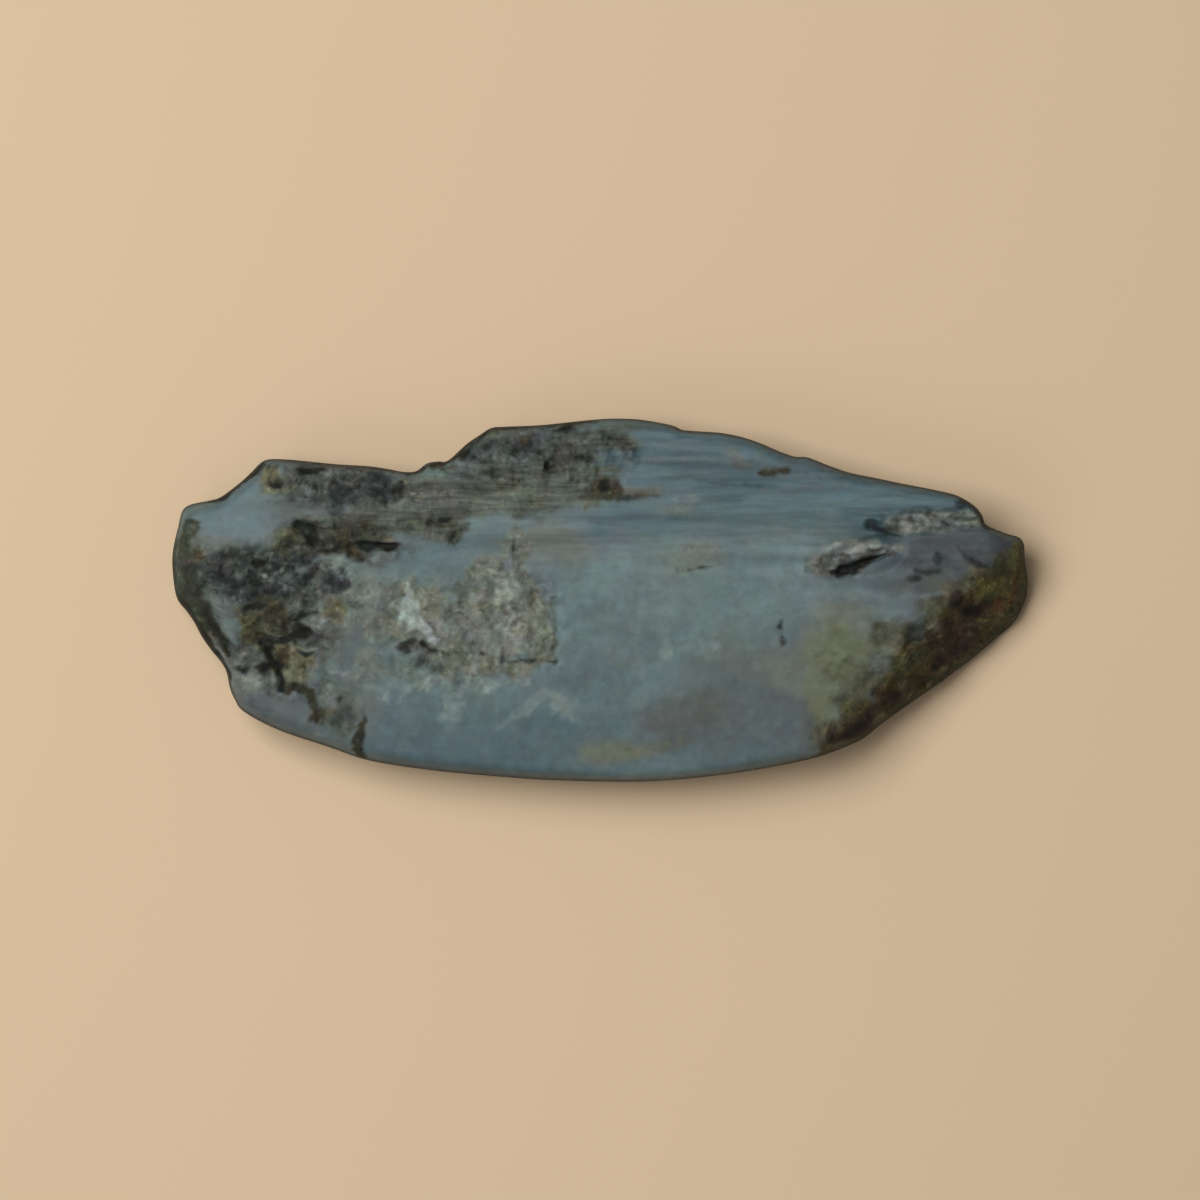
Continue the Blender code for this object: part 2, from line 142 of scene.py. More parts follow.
# Patches of rough stone: middle, half length, half width, turn in degrees, height of the lumps
ROUGH_PATCHES = (
    ((-10.0, -2.0), 6.5, 6.0, 0, 0.30),
    ((-17.0, -4.5), 6.0, 4.5, 0, 0.25),
    ((-35.0, 2.4), 8.0, 4.0, 5, 0.45),
    ((-26.0, 11.8), 8.5, 2.4, -3, 0.40),
    ((-5.0, 15.0), 9.5, 3.4, 2, 0.45),
    ((-28.0, 6.8), 7.5, 2.2, 5, 0.35),
    ((-33.5, -5.0), 4.5, 5.5, 20, 0.40),
    ((37.0, -5.0), 10.0, 4.5, 43, 0.55),
    ((34.0, 8.3), 7.0, 1.4, 4, 0.30),
)
ROUGH_FADE = (0.75, 1.15)
LUMP_SIZE = 1.7

# Low ridges along the bands, which fade in towards the back edge and towards the tip
RIDGE_LENGTH = 16.0
RIDGE_WIDTH = 1.5
RIDGE_HEIGHT = 0.11
RIDGE_SLANT = 0.05
RIDGE_FADE_ACROSS = (0, 5)
RIDGE_FADE_ALONG = (-24, -12)

# Where each form reads the noise, so that no two have the same lumps
LUMP_LEVEL, WAVE_LEVEL, RIDGE_LEVEL, BOWL_LEVEL, RISER_LEVEL, GROOVE_LEVEL = 0, 1, 3, 5, 7, 9

# The flank below the rim
FLANK_LUMP_SIZE = 3.6
FLANK_LUMP_SQUEEZE = 1.5
FLANK_INSET = 0.42
FLANK_LUMP_DEPTH = 0.42
FLANK_LUMP_FADE_END = 0.75
SAW_MARGIN = 0.8

# ---- The finer grid ----
# Columns and rows of the face, rows of the flank, rings of the sawn side; the outer share of the face
# where rings are crowded, and how strongly; how near to 1 counts as on a ring's side
COLUMNS, ROWS = 400, 170
FLANK_ROWS = 16
BASE_RINGS = 6
EDGE_BAND = 0.09
EDGE_CROWDING = 1.8
ROUNDING = 1e-6
# What a point on the face and on the sawn side has for its share down the flank
ON_FACE, UNDERNEATH = 0.0, 2.0

# Relief finer than the solid's, in millimetres
GRIT_SIZE = 0.55
GRIT_SHARE = 0.45
MATRIX_PIT_SIZE = 0.9
MATRIX_PIT_DEPTH = 0.14
FIBRE_LENGTH = 7.0
FIBRE_WIDTH = 0.55
FIBRE_HEIGHT = 0.07
FIBRE_SLANT = 0.03
POLISH_WAVE_SIZE = 2.6
POLISH_WAVE_HEIGHT = 0.02
VEIN_DEPTH = 0.10

# Where the finer relief and each part of the finish reads the noise
GRIT_LEVEL, PIT_LEVEL, FIBRE_LEVEL, POLISH_LEVEL, CRUST_LEVEL = 21, 23, 25, 27, 41
COARSE_WARP_LEVEL, FINE_WARP_LEVEL, TINT_WARP_LEVEL, RAGGED_LEVEL = 31, 35, 39, 38
BASE_LEVEL, BAND_LEVEL, DRIFT_LEVEL, COAT_LEVEL, COAT_LEVEL_STEP = 45, 47, 50, 60, 5
GRAIN_LEVEL, WARM_LEVEL, GREEN_LEVEL, STREAK_LEVEL = 700, 704, 716, 720
LIGHT_THREAD_LEVEL, DARK_THREAD_LEVEL = 708, 712

# The lattice's random numbers: a factor for each axis, one to mix them, and the bits that are kept
AXIS_FACTORS = (73856093, 19349663, 83492791)
MIXING_FACTOR = 1274126177
MIXING_SHIFT, KEPT_SHIFT, KEPT_BITS = 13, 16, 0xFFFF
# Frayed noise: each octave's share of the last one's height, its turn in degrees, and the size from
# which it has a third octave
FRAY, FRAY_TURN, FRAY_THREE_FROM = 0.7, 37, 1.5
# How strongly noise is spread before it is brought into 0 to 1, so that each share is equally common
EVEN_SPREAD = 1.75

# Bands of lighter and darker stone along the upper half
BAND_LENGTH, BAND_WIDTH, BAND_SLANT = 22.0, 1.1, -0.01
BAND_CONTRAST = 0.24

# How a mark's cover falls off: a patch by shares of its ellipse, a line by millimetres past its edge
PATCH_FADE = (0.4, 1.25)
LINE_FADE = (-0.25, 0.32)
FAR_OFF = 9.0
# How far marks' edges are pushed in and out
RAGGED, RAGGED_SIZE = 0.22, 1.0
# Marks with a softer stain round them; round the black of the slit and the slot it is painted shade.
# Which mark, and how far past it the stain reaches
HALOES = {
    "black stain": ("black", 0.25), "brown stain": ("brown", 0.2), "crust stain": ("crust black", 0.5),
}
# The four places round a point whose finishes are averaged
AROUND = ((0.055, 0.02), (-0.02, 0.055), (-0.055, -0.02), (0.02, -0.055))
# A coat whose blotches are longer than this many widths is streaky: it follows the fibres' slant
STREAKY_FROM = 2

# ---- Colours of the stone ----
STONE = (0.119, 0.172, 0.178)
STONE_ROUGHNESS = 0.5
# The rough flank: its colour, how much of it lies over the face's, and the blotches on it
FLANK = (0.050, 0.052, 0.040)
FLANK_SHARE = 0.72
FLANK_ROUGHNESS = 0.78
FLANK_FADE = (0.0, 0.12)
BLOTCH_SIZE, BLOTCH_SQUEEZE, BLOTCH_CONTRAST = 3.0, 1.5, 0.5
# The sawn face underneath, with faint long clouds
SAWN = (0.105, 0.140, 0.145)
SAWN_ROUGHNESS = 0.62
SAWN_CLOUD_SIZE, SAWN_CLOUD_STRETCH, SAWN_CONTRAST = 9.0, 3, 0.25

# Slow drifts of the stone's own colour: colour, size of the clouds, share of the stone they tint
DRIFTS = (
    ((0.112, 0.156, 0.130), 9.0, 0.55),
    ((0.108, 0.130, 0.156), 6.5, 0.55),
    ((0.144, 0.208, 0.208), 5.0, 0.50),
    ((0.098, 0.130, 0.126), 2.6, 0.50),
)
DRIFT_SPREAD, DRIFT_STRETCH = 2.0, 1.8
DRIFT_FADE = (0.35, 0.9)

# Where each finish lies: patches of (x, y, half length, half width, turn in degrees, cover)
PATCHES = {
    "deep blue": (
        (22, 14, 30, 7, -10, 0.95), (5, 9.2, 7, 2, -3, 0.95), (9, 14, 12, 5.5, -5, 0.85),
        (30, 9, 11, 4, -8, 0.8), (36, 5.6, 9, 3, -5, 0.6), (12, 9.6, 14, 3, -3, 0.55),
        (-11.5, -11, 3.4, 1.8, 0, 0.5), (-18, 5.6, 5, 2, 10, 0.5),
    ),
    "lower blue": (
        (-9, -15.5, 22, 4.6, 0, 0.95), (-18, -12.5, 9, 3.5, -6, 0.6), (-1, -8.5, 6, 3, 0, 0.5),
        (-14, 5.4, 8, 1.6, 12, 0.6), (12, -15.5, 10, 3.5, 3, 0.55), (-33.5, -12, 5, 2, -22, 0.5),
    ),
    "teal": ((14, -0.5, 9, 4, 0, 0.6), (19, 2.4, 9, 2, 0, 0.35), (-2, 3, 6, 3, 0, 0.3)),
    "grey green": (
        (17, -6.5, 8, 3, 0, 0.7), (-4.6, 5.8, 5.8, 2, -3, 0.95), (-23, -3, 6, 5, 0, 0.5),
        (25, 3.6, 3, 1.6, 0, 0.4), (-27, -12.5, 3.2, 4, 0, 0.7), (2, -15.8, 6, 2.2, 0, 0.7),
        (2.5, -6.3, 3, 1, 0, 0.4), (-42, 3, 5, 7, 0, 0.9), (-34, 0, 12, 8, -10, 0.9),
    ),
    "lilac": (
        (15, -12, 9, 5.5, 0, 0.75), (-34, -12, 5.5, 2.4, -22, 0.95), (34, 0.2, 5, 1.6, -10, 0.5),
        (-3, -8.3, 2.2, 1.6, 0, 0.4), (-38.9, -2.6, 1.6, 4, 10, 0.8), (13, 5.8, 3.4, 2.4, 0, 0.35),
    ),
    "grey lilac": ((38.2, 4.4, 8, 3.6, -6, 1), (36.4, 1.6, 5, 2.2, -10, 0.95)),
    "frost": ((26, -2, 4.4, 3.2, 0, 1), (29, -3.4, 2.6, 2, 0, 0.8)),
    "bright": ((25.4, 0.2, 7, 1.8, 0, 1), (28, -1.2, 3.6, 1.6, 0, 0.8), (20.6, 2, 5, 1.6, 0, 0.6)),
    "drab": (
        (9, -12, 5.5, 2.6, 0, 0.7), (7.6, -15, 2, 1.4, 0, 0.6), (23.4, -13, 3.8, 4, 10, 0.8),
        (35, 1.5, 5, 1.6, 0, 0.6), (34.5, -0.4, 2.4, 1.2, 0, 0.7),
    ),
    "sky": (
        (-39.2, 8.6, 5, 2.5, 2, 1), (-37.2, 11, 2, 1.8, 40, 0.9), (-22.8, -9.8, 3.4, 1.5, 0, 0.65),
        (-15.6, -11.6, 2, 2.2, 0, 0.8),
    ),
    "still blue": ((-26, -6.2, 1.3, 3.8, 0, 0.9), (-30.4, 9.6, 6, 1.6, 2, 1), (-36.2, 6.2, 4, 1.2, 4, 0.7)),
    "yellow olive": (
        (25, -6, 4, 4.4, 0, 0.8), (23.8, -9.2, 3.2, 3.4, 0, 0.7), (29, -6, 2.8, 2.6, 0, 0.6),
        (2, -15.9, 4, 1.4, 0, 0.5), (21, -8, 3.4, 2.8, 0, 0.3),
    ),
    "pale grey": (
        (-37, -8.2, 3.4, 1.8, 0, 0.75), (-30, -2.5, 2, 3.5, 0, 0.45), (-30.5, 8.2, 4.5, 0.8, 0, 0.6),
        (10.4, 5.2, 3.4, 2, 0, 0.7), (8.9, 10.4, 2.4, 0.8, 3, 0.7), (29.9, -5.9, 1.7, 2.2, 10, 0.9),
    ),
    "tan": ((4.6, 12.4, 3.6, 0.8, 2, 0.9), (15.4, 15.9, 2.4, 0.9, -12, 0.7), (-5, 16.5, 4, 0.8, -3, 0.9)),
    "mixed ground": (
        (-37, 2.6, 6.6, 3.6, -5, 1), (-29.5, 1.5, 5, 4, 0, 0.95), (-30.5, -3, 4.4, 5, 0, 0.9),
        (-36, -3.4, 4.6, 5, -15, 0.9), (-34.5, -7, 5.6, 3, -20, 0.9), (-27.8, -10.8, 3.2, 4.4, 20, 0.8),
        (-42.6, 3.2, 2.6, 5.4, 0, 0.85), (-28, 11.9, 9, 2.7, -3, 1), (-7, 15.8, 9.5, 3.4, 2, 1),
        (-24, 5.5, 6, 3, 0, 0.6), (-0.4, 16.4, 2.4, 2, -10, 0.8), (2, 14.2, 2.2, 1.8, 0, 0.55),
        (-9, 18.6, 9, 3.2, 2, 0.9), (-27, 15.6, 9, 2.6, -3, 0.9),
    ),
    "pale ground": (
        (10.4, 5.4, 3.2, 1.9, 0, 0.35), (15.6, 6.6, 3.2, 0.9, 0, 0.3), (9, 10.6, 2.2, 0.7, 0, 0.5),
        (-23, -0.8, 5.4, 4.6, 0, 0.95), (-24, -7, 4, 2.6, 0, 0.7), (-18, 1.4, 4, 2.2, 0, 0.6),
        (-37, -8.6, 3.6, 1.7, 0, 0.85), (-19, -8, 5, 2, 0, 0.6), (-27.4, 3.4, 2.8, 1.5, 0, 0.7),
        (-29.4, 13, 2.6, 1, 0, 0.5), (-30, -1.6, 2.4, 2.4, 0, 0.4), (-28.4, -8.6, 1.6, 3, 0, 0.5),
    ),
    "fibre": (
        (-17, 10.6, 7.8, 3, 0, 1), (-8, 11.2, 10.5, 2.5, 2, 1), (-23, 8.4, 8, 1.8, 3, 0.95),
        (-16.5, 7.2, 4, 1.2, 0, 0.8), (-8.5, 13.4, 9.5, 1.3, -2, 1), (1.2, 16.8, 3.6, 1.3, -10, 1),
        (-1.4, 13, 4.4, 1.3, 0, 0.9), (-16.6, 14, 2.6, 0.8, 0, 1), (1.6, 18.2, 4.4, 0.7, -3, 0.5),
    ),
    "olive brown": (
        (-7, 11.3, 6.4, 1.5, 0, 0.28), (0, 11.1, 2.6, 1.3, 0, 0.6), (-16.4, 8, 1.6, 1, 0, 0.6),
        (-28.2, 6.6, 6.6, 1.7, 3, 1), (-35.6, -1.7, 2.2, 2.7, 0, 1), (-33, 5, 1.8, 1.2, 0, 0.8),
        (-19.5, 7.9, 3.4, 0.7, 0, 0.55), (-15.4, 6.9, 1.8, 0.9, 0, 0.75), (-33.8, -5, 1.6, 2, 0, 0.8),
        (-24.5, 7.6, 3.2, 0.8, 0, 0.6), (-29.6, -11.5, 0.9, 2.2, 15, 0.5), (-42.4, 4.3, 1, 1.2, 0, 0.9),
        (-42.6, 7.6, 1.2, 1.2, 0, 0.8),
    ),
    "ochre": (
        (-27.3, -1, 1.9, 1.9, 0, 0.55), (-35.2, -2, 3.2, 3.2, 10, 1), (-33.9, -5.2, 1.6, 3.2, 12, 1),
        (-26.2, 6.1, 1.8, 1.5, 0, 0.75), (-30.6, 7.2, 2.2, 1.3, 0, 0.6), (0.8, 11.6, 2, 1.4, 0, 1),
        (-33.6, 6.2, 1.4, 1, 0, 0.4),
    ),
    "gold": (
        (30.9, -5.6, 1.3, 0.7, 30, 0.4), (27.6, -9.2, 1, 0.8, 0, 0.5), (-31.4, -6.6, 2.2, 2.8, 0, 1),
        (-27.5, -1.2, 2, 2, 0, 0.8), (-34.3, 12.5, 2, 1.6, -20, 1), (-33, 11.4, 1.2, 0.8, 0, 0.7),
        (-2, 9.9, 2.8, 0.9, 0, 0.5), (-21.9, 6.5, 0.7, 0.6, 0, 0.8), (-32.2, -4.8, 1.2, 0.9, 0, 0.7),
        (-36.2, -4.4, 1.2, 1.2, 0, 0.5), (-28, -12.8, 1.2, 2.2, 20, 0.45), (-33, 7, 2.2, 0.9, 5, 0.5),
        (-43.6, 6.6, 0.7, 1.4, 0, 0.7), (-25.4, 4.6, 0.6, 0.4, 0, 0.5),
    ),
    "red brown": (
        (-33.4, -2.2, 1.3, 2.2, 10, 1), (1.7, 11.6, 1, 0.8, 0, 0.8), (-25.5, 5.6, 1.6, 2.1, 0, 1),
        (16.9, 13.3, 0.9, 0.5, 0, 0.9), (-21, -4.7, 0.9, 0.4, -10, 0.6), (-15.8, -5.7, 0.9, 0.5, -20, 0.9),
        (-8, 16.2, 0.7, 1.1, 0, 0.6), (-20.5, 0.8, 0.8, 0.45, 0, 0.6), (-42.2, 4.6, 0.5, 0.6, 0, 0.8),
    ),
    "brown": (
        (-35.6, -0.8, 1.8, 1.4, 0, 0.8), (-34.6, -2.6, 1.4, 1.4, 0, 0.6), (-29.6, -12, 0.8, 1.2, 0, 0.5),
        (-34.6, -5.4, 1, 1.2, 0, 0.6), (-25.8, 6.4, 1, 0.8, 0, 0.6),
    ),
    "flank green": (
        (-43.6, 0.6, 2.4, 3.4, 0, 0.95), (-42.2, -2.2, 2.2, 3, 20, 0.95), (-40.4, -5.4, 1.4, 2.6, 30, 0.95),
    ),
    "flank olive": ((-43.6, 6.4, 1.3, 2.6, 0, 1), (-45.2, 3.4, 1.9, 4, 0, 1)),
    "violet": (
        (-43.4, 4.2, 1.2, 1.2, 0, 1), (-31, 4.4, 2, 0.9, 15, 0.7), (-24, 12.2, 2.6, 1.4, 0, 0.6),
        (-28.2, 9.6, 0.8, 1.4, 0, 0.6), (-39.6, 1.2, 1, 0.8, 0, 0.6), (-29.2, -4.6, 1.2, 2.6, 0, 0.5),
        (-38.6, 9.8, 1.4, 0.8, 0, 0.3), (-35.8, -11, 2.2, 0.8, -20, 0.5), (-38.4, -2.4, 1, 1.6, 0, 0.5),
        (-23.4, 6.6, 1, 0.6, 0, 0.6), (-32, -0.2, 1.2, 1.2, 0, 0.4),
    ),
    "cream": (
        (-10.2, -1.6, 6, 6, 0, 1), (-15.2, -3.4, 5.6, 3.4, 0, 1), (-8.6, 4.8, 1.6, 3, 0, 1),
        (-19.4, -1.2, 4.2, 3.8, 0, 0.9), (-13, -7.7, 8, 1.5, 2, 0.6), (-11.7, 3, 2.6, 1.6, 25, 1),
        (-22.5, -1.6, 3.6, 3.8, 0, 0.35), (-37, -8.3, 3.2, 1.5, 0, 0.3), (-24.5, -7, 3.8, 2.6, 0, 0.2),
        (-12, -6.7, 7.4, 1.2, 0, 0.9), (-6.6, -3.2, 2.2, 4, 0, 1), (-8.8, 1.6, 2.6, 2, 0, 1),
        (-31, -6.8, 2, 2.2, 0, 0.4), (-28, 3.2, 2.4, 1.6, 0, 0.4),
    ),
    "stained": (
        (3, -15.8, 6.5, 1.4, 0, 0.6), (25, -7, 4.6, 5, 10, 0.7), (28.8, -6.6, 3.2, 3.4, 20, 0.8),
        (25.2, -11.6, 2.4, 3.4, 0, 0.8), (7.6, -14.8, 1.6, 1.2, 0, 0.6), (-4.6, 6.2, 2.6, 0.9, 0, 0.3),
        (16, 15.6, 2.4, 0.8, -12, 0.6), (30.4, -3.6, 1.8, 2, 0, 0.5), (24.4, -3.6, 1.6, 2.4, 0, 0.5),
    ),
    "worn": (
        (34.4, 8.2, 5.6, 1.3, 3, 1), (30.8, 8.1, 1.8, 0.9, 10, 0.9), (38.8, 8.5, 1.8, 1, -20, 0.9),
        (25.8, 4.9, 4.2, 1.6, 9, 1), (30.2, 5.2, 2.2, 0.9, 8, 1), (23.2, 3.7, 1.6, 1.5, 0, 1),
        (27.4, 2.7, 1.2, 0.4, 10, 0.6),
    ),
    "fringe": (
        (-12.4, -8.7, 6, 1.1, 0, 0.9), (-15.4, -11, 2, 2.4, 0, 1), (-22.6, -9.8, 3.4, 1.3, 0, 0.6),
        (-19, -9.2, 2.4, 1, 0, 0.6), (-11.4, -3.4, 2, 0.8, 0, 0.6), (-3.4, -11.2, 1.2, 1.2, 0, 0.35),
    ),
    "window": (
        (-26.5, -6.6, 1.3, 3.6, 0, 0.9), (-22.4, -6.2, 2.2, 1, 0, 0.6), (-25, -3.6, 1, 1.4, 0, 0.5),
        (-22.6, 2.8, 2.2, 1, 0, 0.6), (-26.2, 4.4, 1, 1.2, 0, 0.5), (-24.8, -9.4, 1.2, 1, 0, 0.6),
        (-38.2, -2.6, 0.9, 2.6, 10, 0.7), (-16.6, 2.6, 2.2, 0.8, 0, 0.5),
    ),
    "dark": (
        (-19.4, -4.9, 2.4, 0.9, -8, 0.6), (-34.4, 2.5, 6.6, 2.8, 3, 1), (-39.4, 3, 3.4, 2.4, 0, 0.75),
        (-31, 4.4, 3, 1.1, 20, 0.95), (-27.7, 2, 2.2, 1.5, 0, 0.72), (-41.4, -0.6, 1.6, 2.4, 0, 0.6),
        (-36.5, 4.8, 5.4, 1, 0, 0.5), (-23.4, 12, 3.4, 2.1, 0, 0.8), (-27, 10.9, 2.4, 1.6, -30, 0.85),
        (-29.8, 12.5, 3, 1.9, 0, 0.35), (-28, 9.6, 1.4, 1, 0, 0.55), (-13, 15.6, 2.4, 1.4, 38, 0.75),
        (-10, 15.8, 3, 2, 0, 0.3), (-4.2, 17.4, 4, 1.1, 0, 0.35), (-5, 14.8, 5, 1.5, 0, 0.38),
        (-2.6, 13, 3.6, 1.5, 0, 0.34), (-37.4, 0.8, 3, 1.6, 0, 0.8), (-30.5, 0.4, 2.4, 1.2, 0, 0.5),
        (-31.6, -1.3, 1.4, 0.7, 0, 0.7), (-19.4, -5.7, 2.2, 1.6, -15, 0.42), (-17.6, -7, 1.8, 0.9, 0, 0.3),
        (2.4, 16.2, 2.6, 1.3, -15, 0.35), (-40.2, -0.4, 1.4, 2.4, 0, 0.5), (-9.5, -0.6, 1.5, 1.7, 0, 0.3),
        (-35.8, -6.9, 3, 1, 0, 0.12), (-28.6, 7.8, 2, 0.8, 0, 0.4), (-26, -0.4, 1.2, 0.8, 0, 0.3),
        (-30.6, -5.4, 1, 0.4, 0, 0.8), (-28.9, -7.4, 0.7, 0.5, 0, 0.4), (-22.2, 0.6, 1, 0.6, 0, 0.4),
        (-26.6, 12.6, 0.6, 1, 0, 0.6),
    ),
    "pale": (
        (-4, -11.2, 2.6, 1.5, -25, 0.9), (0, -8.8, 0.6, 0.25, 0, 0.8), (4.3, -1.2, 0.9, 1.2, 0, 0.9),
        (4.9, 1.6, 0.8, 1.1, 0, 0.5), (7, -5.2, 1, 1.4, 0, 0.9), (10.4, -4.9, 2.8, 0.8, 5, 0.8),
        (11.4, -3.3, 1, 0.7, 0, 0.6), (-7.5, -8.3, 1.3, 0.9, 0, 0.7), (-15.4, -11.2, 1.6, 2.2, 0, 0.8),
        (9.4, 10.5, 2, 0.5, 3, 0.6), (-29.3, -14.2, 1.1, 0.3, -35, 0.7), (-12.2, 1.8, 1.3, 0.8, 20, 0.6),
        (-23.2, -8.8, 2.6, 1, 0, 0.4), (-13.2, -8.8, 2.4, 1, 0, 0.4), (-38.9, -3.4, 0.8, 1.4, 0, 0.5),
        (-38.3, 0.4, 0.7, 0.6, 0, 0.6), (-31, 11.2, 0.7, 0.4, 0, 0.6), (-33.2, 13, 0.7, 0.5, 0, 0.6),
        (-40.9, 3, 0.5, 0.7, -30, 0.6),
    ),
    "white": (
        (-16.8, -2.2, 2.3, 2.1, 0, 0.3), (-20.2, -1.3, 1.3, 1.7, 15, 0.92), (25.6, 5.5, 2.8, 0.9, 6, 0.95),
        (-23.4, 4.6, 1.1, 0.4, 2, 0.3), (28.6, 5.8, 0.9, 0.7, 0, 0.8), (22.5, 4.3, 0.6, 1.1, 0, 0.6),
        (31.9, 7.8, 1, 0.6, 0, 0.6), (30.6, 5.5, 0.7, 0.4, 0, 0.6), (27.2, 2.4, 1.1, 0.3, 10, 0.45),
        (-11.2, -8.8, 0.9, 0.6, 0, 0.4), (-7.4, -8.3, 0.8, 0.8, 0, 0.4), (-10.9, -3.4, 1.5, 0.7, 0, 0.6),
        (-20.3, 1.2, 0.6, 0.8, 0, 0.5), (-12.6, 1.9, 0.9, 0.6, 20, 0.25), (38.6, 8.7, 0.9, 0.4, 0, 0.4),
        (-9.4, 4.2, 0.5, 1.4, 0, 0.4), (-6.5, -1.4, 0.6, 1.6, 0, 0.4), (-33, 3.1, 0.5, 0.35, 0, 0.35),
        (-31, 2.6, 0.35, 0.3, 0, 0.3), (-37.3, -9.2, 1.2, 0.4, 20, 0.4),
    ),
    "black": (
        # The first patch here is painted shade: the slit under the hollow's lower lip, drawn black
        (26.2, 3, 1.3, 0.4, 20, 0.9), (-30.4, 13.6, 1.76, 0.54, -8, 1), (-33.6, 13.9, 1.4, 0.4, 8, 0.7),
        (-33.4, 12.2, 0.8, 0.4, 0, 0.6), (-20.9, 11.7, 0.6, 0.8, 0, 0.8), (-4.9, 14, 0.81, 0.68, 0, 1),
        (-1.8, 15, 1.22, 0.54, -8, 0.98), (-30.5, 7.1, 1.35, 0.81, -30, 1), (-30, 6.6, 0.94, 0.94, 0, 1),
        (-16.8, 8.5, 0.94, 0.54, 0, 0.57), (-15.7, 7, 0.81, 0.54, 0, 0.57), (0.5, 11.7, 1.1, 0.9, -10, 0.9),
        (-31.2, -3.3, 1.08, 0.81, 0, 1), (-31.2, -1.5, 1.08, 0.47, 0, 0.8),
        (-37.1, -6.9, 0.68, 0.54, 0, 0.92), (-35, -7.1, 0.61, 0.81, 20, 0.98),
        (-27, -10.2, 0.4, 0.4, 0, 0.5), (-14.6, 15.4, 0.94, 0.81, 0, 1), (-30.8, 12, 0.81, 0.54, 0, 0.8),
        (-29.8, 11.9, 0.54, 0.68, 0, 0.8), (-27.7, 12.2, 0.68, 0.81, 0, 0.92),
        (-26.6, 11.4, 0.94, 0.54, -40, 0.69), (-36, 1.9, 1.08, 0.68, 0, 0.92),
        (-36.4, 0.9, 0.81, 0.54, 0, 0.69), (-35.4, 3.9, 0.81, 0.54, 0, 0.8),
        (-31.4, 1.6, 1.08, 0.54, 0, 0.57), (-8.8, 15.4, 0.94, 0.68, 0, 0.8),
        (-12, 14.7, 0.81, 0.68, 0, 0.69), (-3.8, 18, 1.35, 0.54, 0, 0.92),
        (-18.1, -4.9, 0.94, 0.41, -10, 0.57), (-35.8, -0.7, 1.35, 0.81, 0, 0.69),
        (-42.5, 0.8, 1.22, 0.81, 0, 0.57), (-25.6, 6.4, 0.81, 1.08, 0, 0.8),
        (-32.6, 4.6, 0.81, 0.81, 0, 0.57),
    ),
    "shade": (
        (28.3, 8, 0.85, 0.7, -20, 1), (35.2, 4.4, 0.5, 0.8, 0, 0.8), (32.8, 2.3, 0.9, 0.5, 0, 0.95),
        (21.6, 3.2, 0.5, 0.5, 0, 0.5), (21.6, 4.2, 0.4, 0.5, 0, 0.4), (37.6, 9.9, 0.9, 0.6, -25, 0.9),
        (3, 10.5, 0.8, 0.4, 0, 0.6), (41.2, 3.3, 0.4, 0.4, 0, 0.5), (32.9, -3.4, 1.5, 1.3, 0, 0.9),
        (30.8, 4.8, 0.5, 0.4, 10, 0.7), (-2, 15, 0.9, 0.4, -8, 0.4), (-7.6, -6.4, 0.9, 0.3, 0, 0.5),
    ),
    "crust black": (
        (38.9, -1, 1.5, 0.75, 14, 0.95), (37.2, -0.3, 0.6, 0.8, 0, 0.95), (26.8, -13.5, 2, 0.9, 28, 0.95),
        (30.6, -10.2, 1.8, 0.8, 30, 0.7), (28.2, -12.3, 0.6, 0.7, 0, 0.8), (24.3, -14.2, 0.3, 0.6, 0, 0.7),
        (35.6, -6.6, 1.5, 0.8, 40, 0.6), (33.4, -8.6, 1.4, 0.7, 40, 0.5), (37.4, -4.8, 0.8, 1.2, 0, 0.5),
        (29, -9.4, 0.9, 0.7, 0, 0.5), (34.4, -4.4, 0.7, 0.5, 0, 0.5),
    ),
    "lit": (
        (35.2, -2.8, 1.1, 0.9, 0, 0.9), (43.4, 4.6, 0.8, 1.8, 0, 0.8), (39.2, 1.6, 1.4, 0.9, 0, 0.5),
        (33, -6.8, 1.6, 0.7, 40, 0.4), (43.4, 1.6, 0.3, 2, -10, 0.5), (28.6, -8.6, 1, 0.7, 0, 0.5),
        (39.4, -6, 2, 0.5, 45, 0.5), (29.2, -12.4, 1.4, 0.7, 30, 0.6), (36.2, -4.2, 0.6, 1.4, 0, 0.4),
        (31.6, -8.6, 0.9, 0.6, 0, 0.4), (25.4, -12.6, 0.8, 1.4, 0, 0.4), (42, -1.8, 0.5, 1.4, -20, 0.5),
    ),
    "maroon": (
        (37.6, -3.6, 2.6, 3.2, -30, 1), (36.2, -5.8, 2, 1.4, 40, 0.8), (38.6, -1, 2.4, 1.4, 10, 1),
        (30.2, -10.4, 1.6, 1, 30, 0.8), (27.2, -13, 2.4, 1.2, 28, 0.7),
    ),
    "rust": (
        (43.4, 1.2, 0.5, 2.6, -16, 0.9), (41.7, -0.5, 0.8, 1.1, 0, 0.8), (35, -7.2, 1.2, 0.8, 40, 0.6),
        (42.2, 1, 0.5, 1.8, -24, 0.6), (37, -1.8, 0.8, 0.9, 0, 0.5), (29.4, -9.6, 1, 0.7, 20, 0.5),
    ),
    "crust green": (
        (44.2, -0.4, 1, 2.6, -20, 1), (42.2, -3.2, 2.2, 1.1, 45, 1), (33.4, -5.6, 1.8, 1.4, 20, 0.7),
        (42.6, 2.6, 0.4, 2.2, -12, 0.7), (38, -6.6, 4.5, 0.6, 38, 0.6), (32.6, -10.9, 3.5, 0.6, 35, 0.6),
        (34.2, -5.6, 1.4, 0.9, 0, 0.5), (39.4, 1.9, 1.6, 0.8, 0, 0.6),
    ),
    "grey": (
        (29, -6.6, 1.5, 1.9, 20, 0.75), (-9.3, -1.1, 1.4, 1.5, 0, 0.7), (-17.6, 10.6, 4, 1.5, 3, 0.7),
        (26.8, -9.6, 1, 1.4, 0, 0.4),
    ),
    "moss": (
